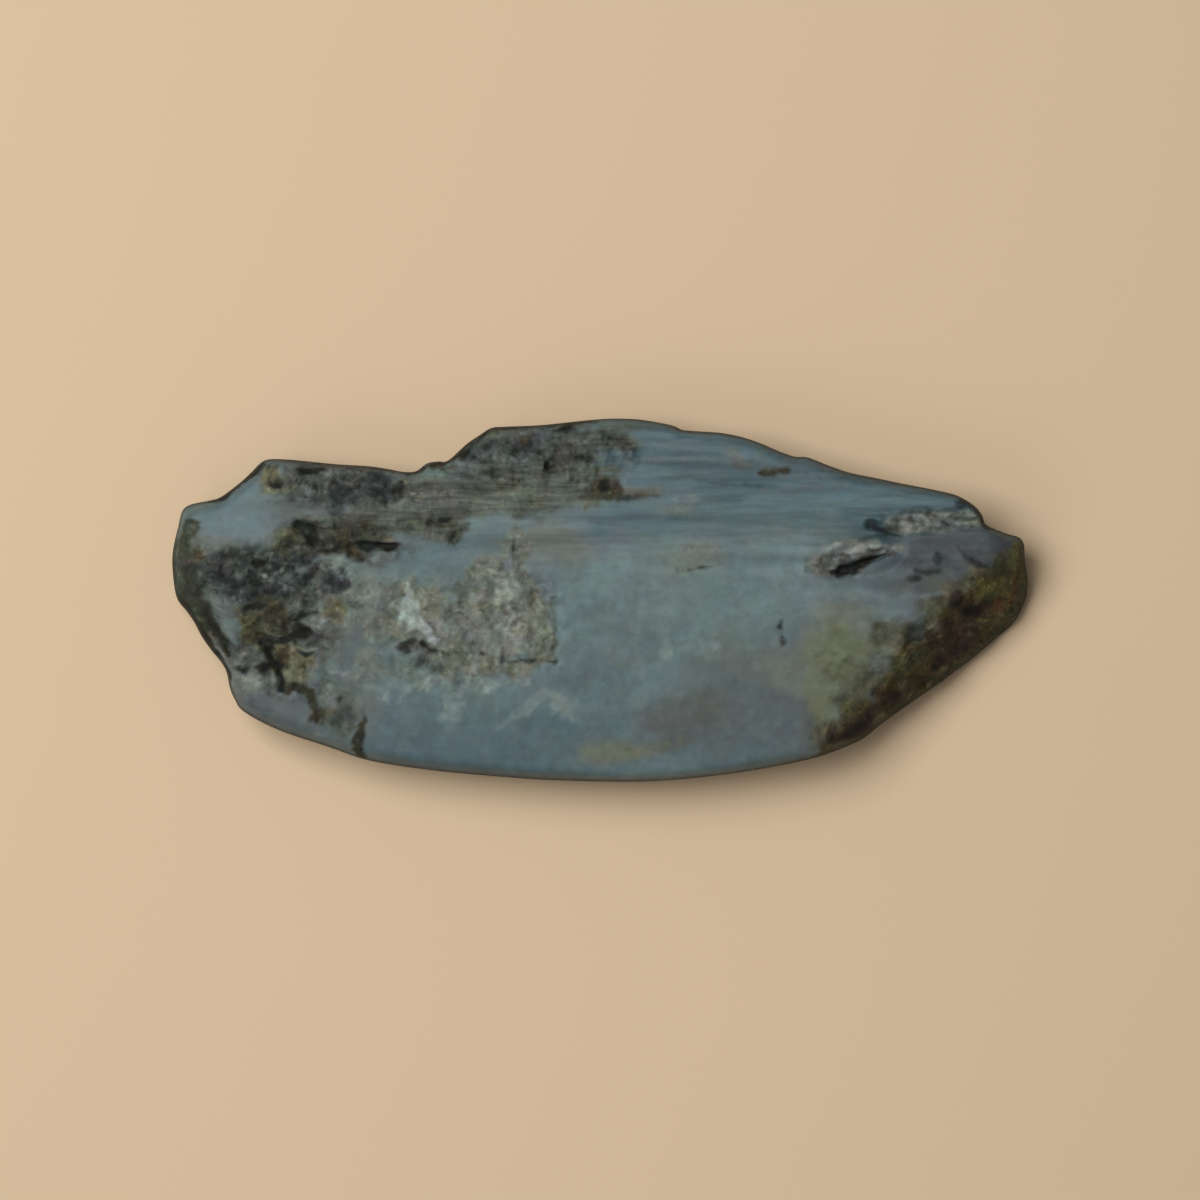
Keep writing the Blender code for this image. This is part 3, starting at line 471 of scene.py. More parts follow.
        (40.4, 1.1, 2, 1.5, 10, 1), (43.4, 4.4, 0.9, 1.8, -5, 1), (42.6, 1.6, 1.2, 1.8, -10, 0.6),
        (39.6, -2.4, 1.4, 1.8, 10, 0.8), (31.4, -6.4, 1.2, 1.6, 20, 0.4), (26, -10.8, 0.9, 1.4, 0, 0.4),
        (40.6, -2.2, 1.3, 1, 30, 0.6), (44.2, 2.6, 0.4, 1.6, -8, 0.7), (36, -7.2, 1.2, 0.6, 40, 0.5),
    ),
}

# The crust at the lower right: where its edge runs, as x over y
CRUST_EDGE_Y = (-19, -15, -14, -13, -12, -11, -10, -9, -8, -7, -6, -5, -4, -3, -2, -1, 0, 1, 2, 3, 4.5, 6)
CRUST_EDGE_X = (
    23.8, 25.8, 26.0, 26.2, 26.9, 27.4, 28.4, 29.6, 30.8, 31.6, 31.8, 31.6, 31.8, 32.4, 33.2, 34.6, 36.4,
    38.4, 39.4, 41.5, 44, 46,
)
CRUST_FADES = {"thin crust": (-5.4, 0.2), "crust": (-1.8, 2.2)}
CRUST_WANDER = 2.0
CRUST_WANDER_SIZE = 1.7

# Lines of the same finishes: cover, then (x, y, half width) along the line
LINES = {
    "white": (
        (0.85, (-20.1, 0.6, 0.6), (-19.6, -1.6, 1.1), (-18.6, -2.9, 0.8), (-17.3, -3.9, 0.5)),
        (0.42, (-37.2, 1, 0.2), (-37, 2.2, 0.25), (-36.3, 2.8, 0.2), (-34.9, 2.9, 0.2)),
        (0.4, (-10.5, 0.9, 0.3), (-9, 0.8, 0.35), (-8, 1.2, 0.3)),
        (0.3, (-13.2, 0.4, 0.35), (-13.4, -1.8, 0.4), (-12.8, -3.6, 0.4), (-12, -4.9, 0.3)),
        (0.6, (-18.9, -9.4, 0.2), (-18.4, -8.7, 0.4), (-17.3, -8.2, 0.3)),
        (0.45, (-32.4, -4.6, 0.1), (-31.4, -5.2, 0.15), (-30.4, -4.9, 0.15), (-29.5, -5.1, 0.1)),
        (0.4, (-28.4, -7.4, 0.1), (-26.2, -7.6, 0.15)),
        (0.35, (-26.2, -6.2, 0.1), (-26, -8.2, 0.15)),
        (0.8, (24.2, 5.4, 0.2), (26, 5.6, 0.35), (28.2, 6, 0.3), (29, 5.6, 0.1)),
        (0.5, (38.2, 8.9, 0.1), (39.2, 8.6, 0.25)),
    ),
    "grey": (
        (0.8, (-41, -3, 0.15), (-40.2, -4.4, 0.3), (-39.5, -6.2, 0.3)),
        (0.6, (-44, 8.4, 0.2), (-44.6, 5, 0.2), (-44.4, 2.6, 0.2)),
        (0.6, (-34.8, -8, 0.2), (-33.8, -9.6, 0.2)),
        (0.5, (-27.9, -9.4, 0.25), (-26.2, -9.6, 0.2), (-26, -10.8, 0.2), (-27.4, -11.2, 0.2)),
    ),
    "pale": (
        (0.9, (-10.5, -13, 0.3), (-9, -12.2, 0.6), (-7.6, -11.2, 0.7), (-6.3, -10.3, 0.6),
            (-4.4, -10.2, 0.4)),
        (0.7, (-5.4, -10.1, 0.05), (-2.4, -10.4, 0.15), (-2.2, -12.6, 0.2), (-3.8, -12.4, 0.1),
            (-6, -11.6, 0.05)),
        (0.5, (3.8, 4.2, 0.2), (3.3, 1.5, 0.25), (3.2, 0, 0.25), (3.6, -2.5, 0.35), (4.2, -4, 0.2)),
        (0.5, (-31.2, -12.9, 0.2), (-30, -13.8, 0.3), (-28.9, -14.7, 0.25)),
    ),
    "haze": (
        (0.3, (18, 10.5, 0.1), (24, 10.3, 0.15), (31, 10.3, 0.1)),
        (0.7, (13.2, 7.2, 0.1), (16.5, 7.5, 0.25), (19, 7.3, 0.2), (23, 7.1, 0.15), (28.5, 7, 0.1)),
        (0.8, (17, 0.4, 0), (22, 0.2, 0.2), (25, 0, 0.25), (28, -0.1, 0.3), (32, 0.3, 0.15),
            (36, 0.8, 0.1)),
        (0.4, (12, 6.4, 0.2), (16, 6.7, 0.3), (21, 6.2, 0.1)),
        (0.5, (4, 16.4, 0.1), (12, 15.6, 0.2), (18, 14.4, 0.1)),
        (0.5, (6, 14.7, 0.1), (11, 14.7, 0.25), (15.4, 14.2, 0.1)),
        (0.2, (22, 12.6, 0.1), (27, 11.6, 0.1), (34, 11, 0.1)),
        (0.5, (-12, 14.4, 0.1), (-8, 14.3, 0.2)),
        (0.4, (-5, 4, 0.1), (0, 3.9, 0.2), (4, 4.2, 0.1)),
        (0.35, (12, 2.4, 0.1), (20, 2.2, 0.2), (27, 1.6, 0.1)),
        (0.4, (3, 13, 0.1), (9, 13.2, 0.2), (13, 12.9, 0.1)),
        (0.35, (-20, 3.6, 0.1), (-15, 3.9, 0.2), (-13, 4.2, 0.1)),
    ),
    "brown": (
        (0.9, (-24.5, -12.2, 0.1), (-24.9, -13.4, 0.35), (-25.1, -14.8, 0.5), (-25.4, -16.6, 0.5),
            (-25.7, -18.4, 0.1)),
        (0.9, (-32.6, -9.5, 0.35), (-31.8, -8.9, 0.4), (-30.6, -8.9, 0.35), (-30.3, -9.8, 0.35),
            (-29.9, -10.8, 0.45), (-29.4, -12.2, 0.35), (-28.9, -13.4, 0.2)),
        (0.7, (-17.6, -5, 0.05), (-15.6, -5.7, 0.35), (-14, -5.3, 0), (-12.2, -5.3, 0.1)),
        (0.7, (-12.2, -5.3, 0), (-10.6, -6, 0.15), (-8.7, -6.4, 0.25), (-7.4, -6.3, 0.05), (-6, -6.5, 0.15),
            (-4.5, -6.6, 0)),
        (0.4, (-11.9, 0.6, 0.1), (-12.2, -1.4, 0.25), (-11.6, -3, 0.1)),
        (0.35, (-10.6, 0.4, 0.1), (-8.8, 0.8, 0.1), (-7.8, -0.6, 0.1), (-8, -2.2, 0.1), (-9.6, -2.8, 0.1)),
        (0.8, (8, 3, 0), (9.4, 3.15, 0.12), (10.6, 3.35, 0.1), (12.6, 3.8, -0.1)),
        (0.9, (17, 13.3, 0.4), (19.6, 13.6, 0.25)),
        (0.5, (-4.7, 0.2, 0), (-4.6, -1.8, 0.1), (-4.7, -4.6, 0.15), (-5.2, -5.8, 0.2), (-4.7, -6.4, 0.1)),
        (0.5, (-9, 6.2, 0), (-8.6, 4.4, 0.2), (-8, 2.6, 0.2), (-7.4, 1.4, 0.1)),
        (0.4, (-8.7, 4.2, 0.1), (-8.4, 3, 0.2), (-8, 1.7, 0.1)),
        (0.35, (-13.4, -1.4, 0.1), (-13, -3.4, 0.2), (-11.8, -5, 0.2), (-9.6, -5.4, 0.1)),
        (0.4, (-7, 0.6, 0.1), (-7.4, -1.2, 0.2), (-8.4, -2.6, 0.1)),
        (0.6, (-21, 8.2, 0.3), (-18.8, 8.3, 0.45), (-16.9, 8.4, 0.4)),
        (0.5, (2, 10.6, 0.25), (4, 10.9, 0.25), (6.5, 10.7, 0.2)),
        (0.7, (-33, 4.6, 0.2), (-30.4, 4.9, 0.3), (-28.4, 5.4, 0.35), (-26.6, 6, 0.4), (-25, 6.2, 0.4)),
        (0.5, (-34.6, -9.7, 0.2), (-32.6, -10.2, 0.25), (-31, -10.6, 0.2)),
        (0.6, (-27.6, 7.4, 0.2), (-25, 7.6, 0.35), (-21.6, 7.6, 0.3)),
        (0.4, (-28, 9.9, 0.2), (-25, 9.6, 0.3), (-22, 9.9, 0.2)),
    ),
    "shade": (
        (0.9, (28.6, 7.6, 0.4), (29.6, 7.1, 0.25), (30.6, 6.85, 0.2), (31.6, 6.7, 0.05)),
        (0.9, (33, 3.1, 0.25), (34.2, 3.05, 0.3), (35.4, 3.1, 0.2)),
        (1, (37.2, 5.5, 0), (38, 4.6, 0.15), (38.8, 4, 0.35), (39.6, 3.65, 0.3), (40.4, 3.5, 0.1)),
        (0.9, (38.3, 10.7, 0.7), (39.7, 9.9, 0.7), (40.5, 8.9, 0.7), (40.7, 8.1, 0.6)),
        (0.6, (25.4, 3.5, 0.4), (27, 4.3, 0.4), (28.6, 4.8, 0.2), (29.4, 4.5, 0.05)),
        (0.8, (29.8, 4.7, 0.1), (30.6, 4.9, 0.25), (31.2, 4.8, 0)),
        (0.6, (31, 9, 0.1), (33.4, 9.4, 0.4), (35, 9.3, 0.2), (37, 9.5, 0.3)),
        (0.35, (-9.4, 9.1, 0.05), (-8, 8.9, 0.15), (-5.4, 8.5, 0.1)),
        (0.45, (10, 12.5, 0), (12.5, 12.1, 0.2), (16.6, 11.9, 0.1)),
        (0.6, (-15.8, 13.9, 0.1), (-13.2, 13.4, 0.25), (-10.6, 12.8, 0.2), (-7.6, 12.2, 0)),
        (0.6, (0, 17.3, 0.1), (1.4, 17, 0.25), (2.7, 16.6, 0.15)),
        (0.5, (1.9, 16.1, 0.1), (2.6, 15.6, 0.2), (3.6, 15.6, 0.2), (3.8, 16.4, 0.1)),
        (0.3, (-14.5, 11.8, 0.1), (-11, 11.4, 0.2), (-9, 11.5, 0.1)),
    ),
    "black": (
        # Painted shade: the slot's deep crevice, drawn black
        (1, (-25.4, 5.8, 0.4), (-24.4, 5.6, 0.5), (-22.8, 5.6, 0.5), (-21.6, 5.7, 0.4), (-20.9, 5.7, 0.1)),
        (1, (-31.2, 7.6, 0.4), (-30.2, 7.1, 0.7), (-29.6, 6.5, 0.5)),
        # Painted shade: the slit under the hollow's lower lip, drawn black
        (1, (24.2, 2.8, 0.15), (25.2, 3.1, 0.6), (26.2, 3.5, 0.5), (27.3, 3.95, 0.4), (28.4, 4.35, 0.2),
            (29.3, 4.6, 0)),
        (0.9, (18.9, -2, -0.05), (18.8, -2.8, 0.2), (18.9, -3.6, 0.15), (19.2, -4.6, 0.1)),
        (0.9, (-35.4, -4.1, 0.25), (-34.4, -4.1, 0.4), (-33.2, -4.1, 0.45), (-32.2, -3.9, 0.35),
            (-31.2, -3.3, 0.4)),
        (0.95, (-34, -4.3, 0.4), (-34.4, -5.2, 0.5), (-34, -6.2, 0.3), (-33.4, -7.2, 0.4),
            (-33.2, -8.3, 0.25), (-33.5, -9.2, 0.4)),
        (0.95, (-44, -0.4, 0.5), (-42.9, -2.2, 0.7), (-41.6, -4.2, 0.6), (-40.2, -6.2, 0.5),
            (-39.3, -7.8, 0.4)),
        (0.9, (-41.4, -1.2, 0.4), (-40.6, -2.6, 0.45), (-39.6, -4.4, 0.4), (-39, -5.7, 0.45)),
        (0.85, (-40.5, 11.4, 0.7), (-38.8, 12.5, 0.8), (-37.1, 13.8, 0.8), (-36, 15, 0.6)),
        (0.6, (-29, 5.2, 0.2), (-27.4, 5.8, 0.3), (-25.8, 6.3, 0.35)),
        (0.8, (-19.3, 14.5, 0.6), (-17.5, 15, 0.8), (-16, 15.5, 0.8), (-14.7, 16.7, 0.8), (-13, 17.9, 0.7)),
        (0.6, (-12.4, 18.7, 0.7), (-8, 19.2, 0.7), (-3, 19.4, 0.6), (-1, 19.6, 0.4)),
    ),
}

# Clear tints, laid first and in this order, each over its whole cover
TINTS = {
    "deep blue": (0.070, 0.120, 0.139),
    "lower blue": (0.080, 0.124, 0.140),
    "teal": (0.138, 0.202, 0.194),
    "grey green": (0.118, 0.140, 0.120),
    "lilac": (0.090, 0.112, 0.116),
    "grey lilac": (0.064, 0.076, 0.080),
    "drab": (0.084, 0.090, 0.074),
    "sky": (0.105, 0.157, 0.167),
    "still blue": (0.076, 0.103, 0.101),
    "bright": (0.158, 0.208, 0.216),
    "frost": (0.158, 0.186, 0.160),
    "yellow olive": (0.156, 0.172, 0.092),
}

# The finishes in the order they are laid: place, share of its cover, colour, roughness, size of the
# break-up (0 is none), how much longer than wide (0 is a tint, whose edges wander widely), softness.
# "bands" only marks where in that order the bands go on.
COATS = tuple((finish, 1.0, tint, STONE_ROUGHNESS, 0, 0, 0) for finish, tint in TINTS.items()) + (
    ("pale grey", 1.0, (0.124, 0.146, 0.124), 0.55, 0, 0, 0),
    ("tan", 1.0, (0.110, 0.106, 0.084), 0.55, 0, 0, 0),
    ("bands", 0, (0, 0, 0), 0, 0, 0, 0),
    ("mixed ground", 0.95, (0.080, 0.091, 0.080), 0.64, 1.8, 1.2, 0.9),
    ("mixed ground", 0.45, (0.046, 0.051, 0.045), 0.70, 1.2, 1.2, 0.4),
    ("mixed ground", 0.30, (0.124, 0.142, 0.122), 0.62, 0.9, 1.2, 0.4),
    ("mixed ground", 0.16, (0.022, 0.026, 0.021), 0.74, 0.8, 1.2, 0.12),
    ("mixed ground", 0.10, (0.180, 0.204, 0.180), 0.62, 0.7, 1.2, 0.12),
    ("pale ground", 0.95, (0.140, 0.174, 0.152), 0.60, 1.8, 1.2, 0.9),
    ("pale ground", 0.45, (0.164, 0.194, 0.168), 0.60, 1.0, 1.2, 0.5),
    ("pale ground", 0.30, (0.088, 0.106, 0.094), 0.64, 1.0, 1.2, 0.4),
    ("pale ground", 0.08, (0.040, 0.046, 0.038), 0.70, 0.8, 1.2, 0.12),
    ("fibre", 1.0, (0.090, 0.107, 0.083), 0.60, 1.6, 5, 0.9),
    ("fibre", 0.42, (0.122, 0.142, 0.106), 0.60, 0.9, 4, 0.35),
    ("fibre", 0.40, (0.060, 0.064, 0.047), 0.64, 0.8, 5, 0.3),
    ("fibre", 0.16, (0.036, 0.038, 0.028), 0.68, 0.55, 5, 0.2),
    ("cream", 1.0, (0.138, 0.152, 0.120), 0.64, 1.6, 1, 0.6),
    ("cream", 0.45, (0.178, 0.196, 0.162), 0.62, 1.1, 1, 0.5),
    ("cream", 0.28, (0.104, 0.116, 0.094), 0.68, 0.9, 1, 0.45),
    ("cream", 0.18, (0.140, 0.138, 0.112), 0.66, 1.2, 1, 0.4),
    ("stained", 0.40, (0.132, 0.146, 0.096), 0.54, 1.1, 1.3, 0.4),
    ("stained", 0.40, (0.086, 0.086, 0.054), 0.58, 1.0, 1.3, 0.35),
    ("stained", 0.10, (0.044, 0.038, 0.022), 0.64, 0.9, 1.0, 0.15),
    ("deep blue", 0.22, (0.112, 0.146, 0.154), 0.50, 0.5, 12, 0.25),
    ("deep blue", 0.22, (0.042, 0.070, 0.082), 0.50, 0.5, 12, 0.25),
    ("grey lilac", 0.30, (0.046, 0.054, 0.058), 0.56, 0.9, 2, 0.3),
    ("grey lilac", 0.20, (0.090, 0.100, 0.100), 0.56, 0.8, 2, 0.3),
    ("window", 1.0, (0.092, 0.124, 0.122), 0.54, 1.6, 1, 0.9),
    ("worn", 1.0, (0.138, 0.153, 0.132), 0.64, 1.4, 1.0, 0.9),
    ("worn", 0.36, (0.225, 0.255, 0.240), 0.62, 1.0, 1.0, 0.35),
    ("worn", 0.30, (0.070, 0.076, 0.060), 0.70, 1.0, 1.0, 0.3),
    ("worn", 0.20, (0.024, 0.028, 0.024), 0.74, 0.8, 1.2, 0.15),
    ("fringe", 0.60, (0.165, 0.220, 0.205), 0.56, 0.9, 1.2, 0.25),
    ("fringe", 0.26, (0.220, 0.265, 0.245), 0.58, 0.7, 1.2, 0.2),
    ("fringe", 0.25, (0.084, 0.112, 0.108), 0.60, 0.9, 1.2, 0.25),
    ("olive brown", 1.0, (0.054, 0.056, 0.036), 0.74, 1.4, 1.5, 0.7),
    ("olive brown", 0.35, (0.092, 0.096, 0.068), 0.70, 0.9, 1.5, 0.4),
    ("olive brown", 0.40, (0.022, 0.021, 0.012), 0.78, 0.9, 1.5, 0.4),
    ("gold", 0.85, (0.132, 0.132, 0.078), 0.68, 1.2, 1, 0.7),
    ("gold", 0.30, (0.168, 0.176, 0.124), 0.66, 0.8, 1, 0.4),
    ("gold", 0.25, (0.045, 0.044, 0.024), 0.72, 0.8, 1, 0.4),
    ("ochre", 1.0, (0.054, 0.050, 0.024), 0.74, 1.6, 1, 0.9),
    ("ochre", 0.28, (0.100, 0.096, 0.052), 0.70, 1.0, 1, 0.4),
    ("ochre", 0.32, (0.020, 0.016, 0.009), 0.78, 1.0, 1, 0.4),
    ("violet", 0.7, (0.070, 0.068, 0.074), 0.66, 1.4, 1, 0.8),
    ("dark", 1.0, (0.033, 0.039, 0.037), 0.80, 1.4, 1.3, 0.6),
    ("dark", 0.30, (0.092, 0.108, 0.098), 0.70, 0.7, 1.3, 0.25),
    ("dark", 0.35, (0.015, 0.018, 0.015), 0.84, 0.8, 1.3, 0.25),
    ("red brown", 1.0, (0.034, 0.029, 0.017), 0.78, 1.1, 1, 0.8),
    ("brown stain", 0.6, (0.062, 0.064, 0.044), 0.70, 1.2, 1, 0.7),
    ("brown", 0.85, (0.030, 0.029, 0.016), 0.76, 1.1, 1, 0.6),
    ("black stain", 0.65, (0.044, 0.048, 0.038), 0.72, 1.1, 1, 0.5),
    ("flank green", 1.0, (0.022, 0.034, 0.024), 0.74, 1.6, 1, 0.6),
    ("flank green", 0.3, (0.062, 0.070, 0.052), 0.72, 0.9, 1, 0.35),
    ("flank olive", 1.0, (0.043, 0.061, 0.042), 0.72, 1.4, 1, 0.6),
    ("thin crust", 0.95, (0.066, 0.065, 0.038), 0.64, 2.2, 1, 1.0),
    ("thin crust", 0.30, (0.034, 0.033, 0.019), 0.70, 1.1, 1, 0.5),
    ("thin crust", 0.20, (0.104, 0.108, 0.076), 0.64, 1.0, 1, 0.3),
    ("crust", 1.0, (0.062, 0.052, 0.019), 0.74, 2.6, 1, 1.0),
    ("crust", 0.26, (0.108, 0.096, 0.040), 0.72, 1.4, 1, 0.5),
    ("crust", 0.25, (0.024, 0.018, 0.011), 0.78, 1.8, 1, 0.7),
    ("crust stain", 0.8, (0.028, 0.021, 0.012), 0.74, 1.2, 1, 0.9),
    ("lit", 0.8, (0.088, 0.086, 0.058), 0.68, 1.0, 1, 0.6),
    ("moss", 1.0, (0.108, 0.104, 0.036), 0.76, 1.0, 1, 0.7),
    ("crust green", 1.0, (0.048, 0.050, 0.026), 0.76, 1.2, 1, 0.7),
    ("maroon", 1.0, (0.044, 0.029, 0.018), 0.78, 1.6, 1, 0.9),
    ("rust", 1.0, (0.084, 0.048, 0.020), 0.76, 1.0, 1, 0.7),
    ("crust black", 1.0, (0.014, 0.011, 0.008), 0.82, 0.9, 1, 0.6),
    ("grey", 0.9, (0.112, 0.120, 0.100), 0.66, 0.8, 1, 0.8),
    ("pale", 0.8, (0.158, 0.205, 0.200), 0.52, 1.1, 1, 0.6),
    ("haze", 0.9, (0.142, 0.178, 0.180), 0.50, 0, 1, 0),
    ("white", 0.9, (0.285, 0.325, 0.296), 0.60, 1.3, 1, 0.9),
    # Black: dark marks in the stone, and painted shade in the slit and the slot
    ("black", 0.9, (0.010, 0.012, 0.008), 0.82, 1.0, 1, 0.5),
    ("shade", 0.95, (0.016, 0.021, 0.022), 0.70, 0, 1, 0),
)
TONE = 0.86

# Grain over all of it. A place counts as rough by its roughness; grain is stronger there, and drifts
# warmer or cooler and greener or pinker by these shares of red, green and blue.
ROUGH_RANGE = (0.48, 0.72)
GRAIN_SIZE, GRAIN_HUE_SIZE = 0.9, 1.4
GRAIN_CALM, GRAIN_ROUGH = 0.12, 0.44
GRAIN_HUE, GRAIN_HUE_CALM = 0.12, 0.35
WARMER = (0.8, 0, -0.8)
GREENER = (-0.5, 0.5, -0.5)
# Light and dark threads on the rough stone: width, size, strength; two noises, turned in degrees, are
# added, and a third says where there are threads
THREAD_WIDTH, THREAD_SIZE, DARK_THREAD_SIZE = 0.22, 1.5, 1.95
THREAD_LIGHT, THREAD_DARK = 1.5, 1.2
THREAD_TURNS, SECOND_THREAD = (20, 55), 0.4
THREAD_FADE = (-0.2, 0.4)
# Towards the back edge the grain is drawn out into streaks, and the stone is a little fibrous
STREAK_SIZE, STREAK_STRETCH, STREAK_SHARE, STREAK_CONTRAST = 0.6, 7.0, 0.7, 1.15
STREAK_ACROSS, STREAK_ALONG = (3.0, 7.0), (-30.0, -20.0)
BAND_FIBRE = 0.3
# How far marks are pushed about by noise, less so along the clear stone
WARP_COARSE, WARP_COARSE_SIZE = 0.38, 1.7
WARP_FINE, WARP_FINE_SIZE = 0.24, 0.85
WARP_CALM, WARP_CALM_ALONG = 0.7, (-6, 6)
TINT_WARP, TINT_WARP_SIZE = 1.7, 6.0

# Over the rim, marks run on as if the stone were laid flat, by this share of how far it has fallen
MARK_SPREAD = 0.7

# The dark line along the rim: partly the stone's dark rind, partly painted shade where the rim rolls away
RIM_SKIN_AND_SHADE_WIDTH = 0.5
RIM_SKIN_AND_SHADE = (0.028, 0.028, 0.021)
RIM_SKIN_AND_SHADE_SHARE = 0.85


# ---- Noise and blends ----
def corner_value(i, j, k):
    """A repeatable random number from -1 to 1 for each whole-numbered corner of a lattice."""
    mixed = (i * AXIS_FACTORS[0]) ^ (j * AXIS_FACTORS[1]) ^ (k * AXIS_FACTORS[2])
    mixed = (mixed ^ (mixed >> MIXING_SHIFT)) * MIXING_FACTOR
    return ((mixed >> KEPT_SHIFT) & KEPT_BITS) / (KEPT_BITS / 2) - 1


def noise(x, y, z, size):
    """Lumps about `size` across: the corner values of a lattice, blended between corners by f^2 (3 - 2f)
    of the share f of the way."""
    scaled = [np.asarray(c, float) / size for c in (x, y, z)]
    cell = [np.floor(c).astype(np.int64) for c in scaled]
    ease = [(c - f) ** 2 * (3 - 2 * (c - f)) for c, f in zip(scaled, cell)]
    total = 0.0
    for corner in np.ndindex(2, 2, 2):
        weight = 1.0
        for share, step in zip(ease, corner):
            weight = weight * (share if step else 1 - share)
        total = total + weight * corner_value(*(f + step for f, step in zip(cell, corner)))
    return total


def fractal(x, y, z, size, octaves=3):
    """Noise with finer noise on it, each octave half the size and half the height of the last."""
    return sum(0.5**n * noise(x, y, z, size * 0.5**n) for n in range(octaves))


def even_share(value):
    """A number of any size brought into 0 to 1: half of 1 plus its hyperbolic tangent."""
    return 0.5 + 0.5 * np.tanh(value)


def smooth_step(low, high, value):
    """0 below low, 1 above high, and s^2 (3 - 2s) of the share s between them."""
    share = np.clip((value - low) / (high - low), 0, 1)
    return share * share * (3 - 2 * share)


def smooth_min(first, second, blend):
    """The lower of two heights, with their meeting rounded over `blend`."""
    share = np.clip(0.5 + 0.5 * (second - first) / blend, 0, 1)
    return second + (first - second) * share - blend * share * (1 - share)


# ---- The outline and the forms ----
def outline_curve():
    """The closed outline: a Catmull-Rom curve through OUTLINE, with each point's share of its length."""
    points = np.array(OUTLINE)
    before, after, beyond = (np.roll(points, -n, axis=0) for n in (-1, 1, 2))
    pieces = []
    for share in np.arange(CURVE_STEPS) / CURVE_STEPS:
        pieces.append(
            points
            + 0.5 * share * (after - before)
            + share**2 * (before - 2.5 * points + 2 * after - 0.5 * beyond)
            + share**3 * (1.5 * (points - after) + 0.5 * (beyond - before))
        )
    curve = np.stack(pieces, axis=1).reshape(-1, 2)
    closed = np.vstack([curve, curve[:1]])
    lengths = np.concatenate([[0], np.cumsum(np.linalg.norm(np.diff(closed, axis=0), axis=1))])
    return closed, lengths / lengths[-1]


def outline_at(around):
    """The outline's points and outward normals, at shares of its length from 0 to 1."""
    curve, shares = outline_curve()
    x, y = (np.interp(around % 1, shares, curve[:, n]) for n in (0, 1))
    along_x, along_y = (
        np.interp((around + NORMAL_REACH) % 1, shares, curve[:, n])
        - np.interp((around - NORMAL_REACH) % 1, shares, curve[:, n])
        for n in (0, 1)
    )
    length = np.hypot(along_x, along_y)
    return x, y, -along_y / length, along_x / length


def ring_share(a, b):
    """How far round its own square ring a grid point lies, from 0 to 1 clockwise as the outline runs,
    and how far out the ring is."""
    out = np.maximum(np.abs(a), np.abs(b))
    u, v = (c / np.where(out > 0, out, 1) for c in (a, b))
    sides = [u >= 1 - ROUNDING, v >= 1 - ROUNDING, u <= -1 + ROUNDING]
    distance = np.select(
        sides,
        [v * ROWS, ROWS + (1 - u) * COLUMNS, ROWS + 2 * COLUMNS + (1 - v) * ROWS],
        3 * ROWS + 2 * COLUMNS + (1 + u) * COLUMNS,
    )
    return (-distance / (4 * (ROWS + COLUMNS))) % 1, out


def nearest_rim(x, y):
    """How far each point is inside the outline, measured square to the curve at its nearest point, and
    the outward normal there."""
    shares = np.arange(RIM_STEPS) / RIM_STEPS
    rim_x, rim_y, normal_x, normal_y = outline_at(shares)
    nearest = [
        np.argmin((part_x[:, None] - rim_x) ** 2 + (part_y[:, None] - rim_y) ** 2, axis=1)
        for part_x, part_y in zip(np.array_split(x, RIM_CHUNKS), np.array_split(y, RIM_CHUNKS))
    ]
    at = np.concatenate(nearest)
    inside = np.abs((x - rim_x[at]) * normal_x[at] + (y - rim_y[at]) * normal_y[at])
    return inside, normal_x[at], normal_y[at]


def rim_shape(x, y):
    """Width and drop of the rounded rim and the undercut below it, by direction from the middle."""
    angle = np.degrees(np.arctan2(y, x)) % 360
    stations = np.array(RIM, float)
    return [np.interp(angle, stations[:, 0], stations[:, n]) for n in (1, 2, 3)]


def patch_share(x, y, middle, half_length, half_width, turn):
    """Distance from an ellipse's middle, where 1 is its edge."""
    cos, sin = np.cos(np.radians(turn)), np.sin(np.radians(turn))
    along = (x - middle[0]) * cos + (y - middle[1]) * sin
    across = (y - middle[1]) * cos - (x - middle[0]) * sin
    return np.hypot(along / half_length, across / half_width)


def off_run(x, y, start, end):
    """How far each place lies off the line that joins two points, and how far along it, from 0 to 1."""
    run_x, run_y = end[0] - start[0], end[1] - start[1]
    share = np.clip(((x - start[0]) * run_x + (y - start[1]) * run_y) / (run_x**2 + run_y**2), 0, 1)
    return np.hypot(x - start[0] - share * run_x, y - start[1] - share * run_y), share


def groove_share(x, y, start, end, start_radius, end_radius):
    """Distance from the line that joins two points, where 1 is the groove's radius there."""
    reach, share = off_run(x, y, start, end)
    return reach / (start_radius + (end_radius - start_radius) * share)


def facets(x, y, height):
    """The face cut down by each facet's plane, which falls by its slope times the way beyond its crease."""
    for crease_x, crease_y, crease_height, way_down, slope, blend in FACETS:
        cos, sin = np.cos(np.radians(way_down)), np.sin(np.radians(way_down))
        beyond = (x - crease_x) * cos + (y - crease_y) * sin
        height = smooth_min(height, crease_height - slope * beyond, blend)
    return height


def ledge(x, y):
    """How much lower the stone is on the tip's side of the riser: LEDGE_DROP times a smooth step across
    the riser's wandering line, faded in along its length."""
    run_x, run_y = RISER_END[0] - RISER_START[0], RISER_END[1] - RISER_START[1]
    above = ((y - RISER_START[1]) * run_x - (x - RISER_START[0]) * run_y) / np.hypot(run_x, run_y)
    above = above + RISER_WANDER * noise(x, y, RISER_LEVEL, RISER_WANDER_SIZE)
    lower = 1 - smooth_step(-RISER_HALF_WIDTH, RISER_HALF_WIDTH, above)
    return LEDGE_DROP * lower * smooth_step(*LEDGE_RUN_IN, x)


def drawn_out(x, y, level, length, width, slant, octaves=2):
    """Noise drawn out into streaks of this length and width, which rise to the right by `slant`."""
    return fractal(x, (y - slant * x) * length / width, level, length, octaves)


def banded_here(x, y):
    """1 where the stone is banded: towards the back edge, and less so at its left end."""
    return smooth_step(*RIDGE_FADE_ACROSS, y) * smooth_step(*RIDGE_FADE_ALONG, x)


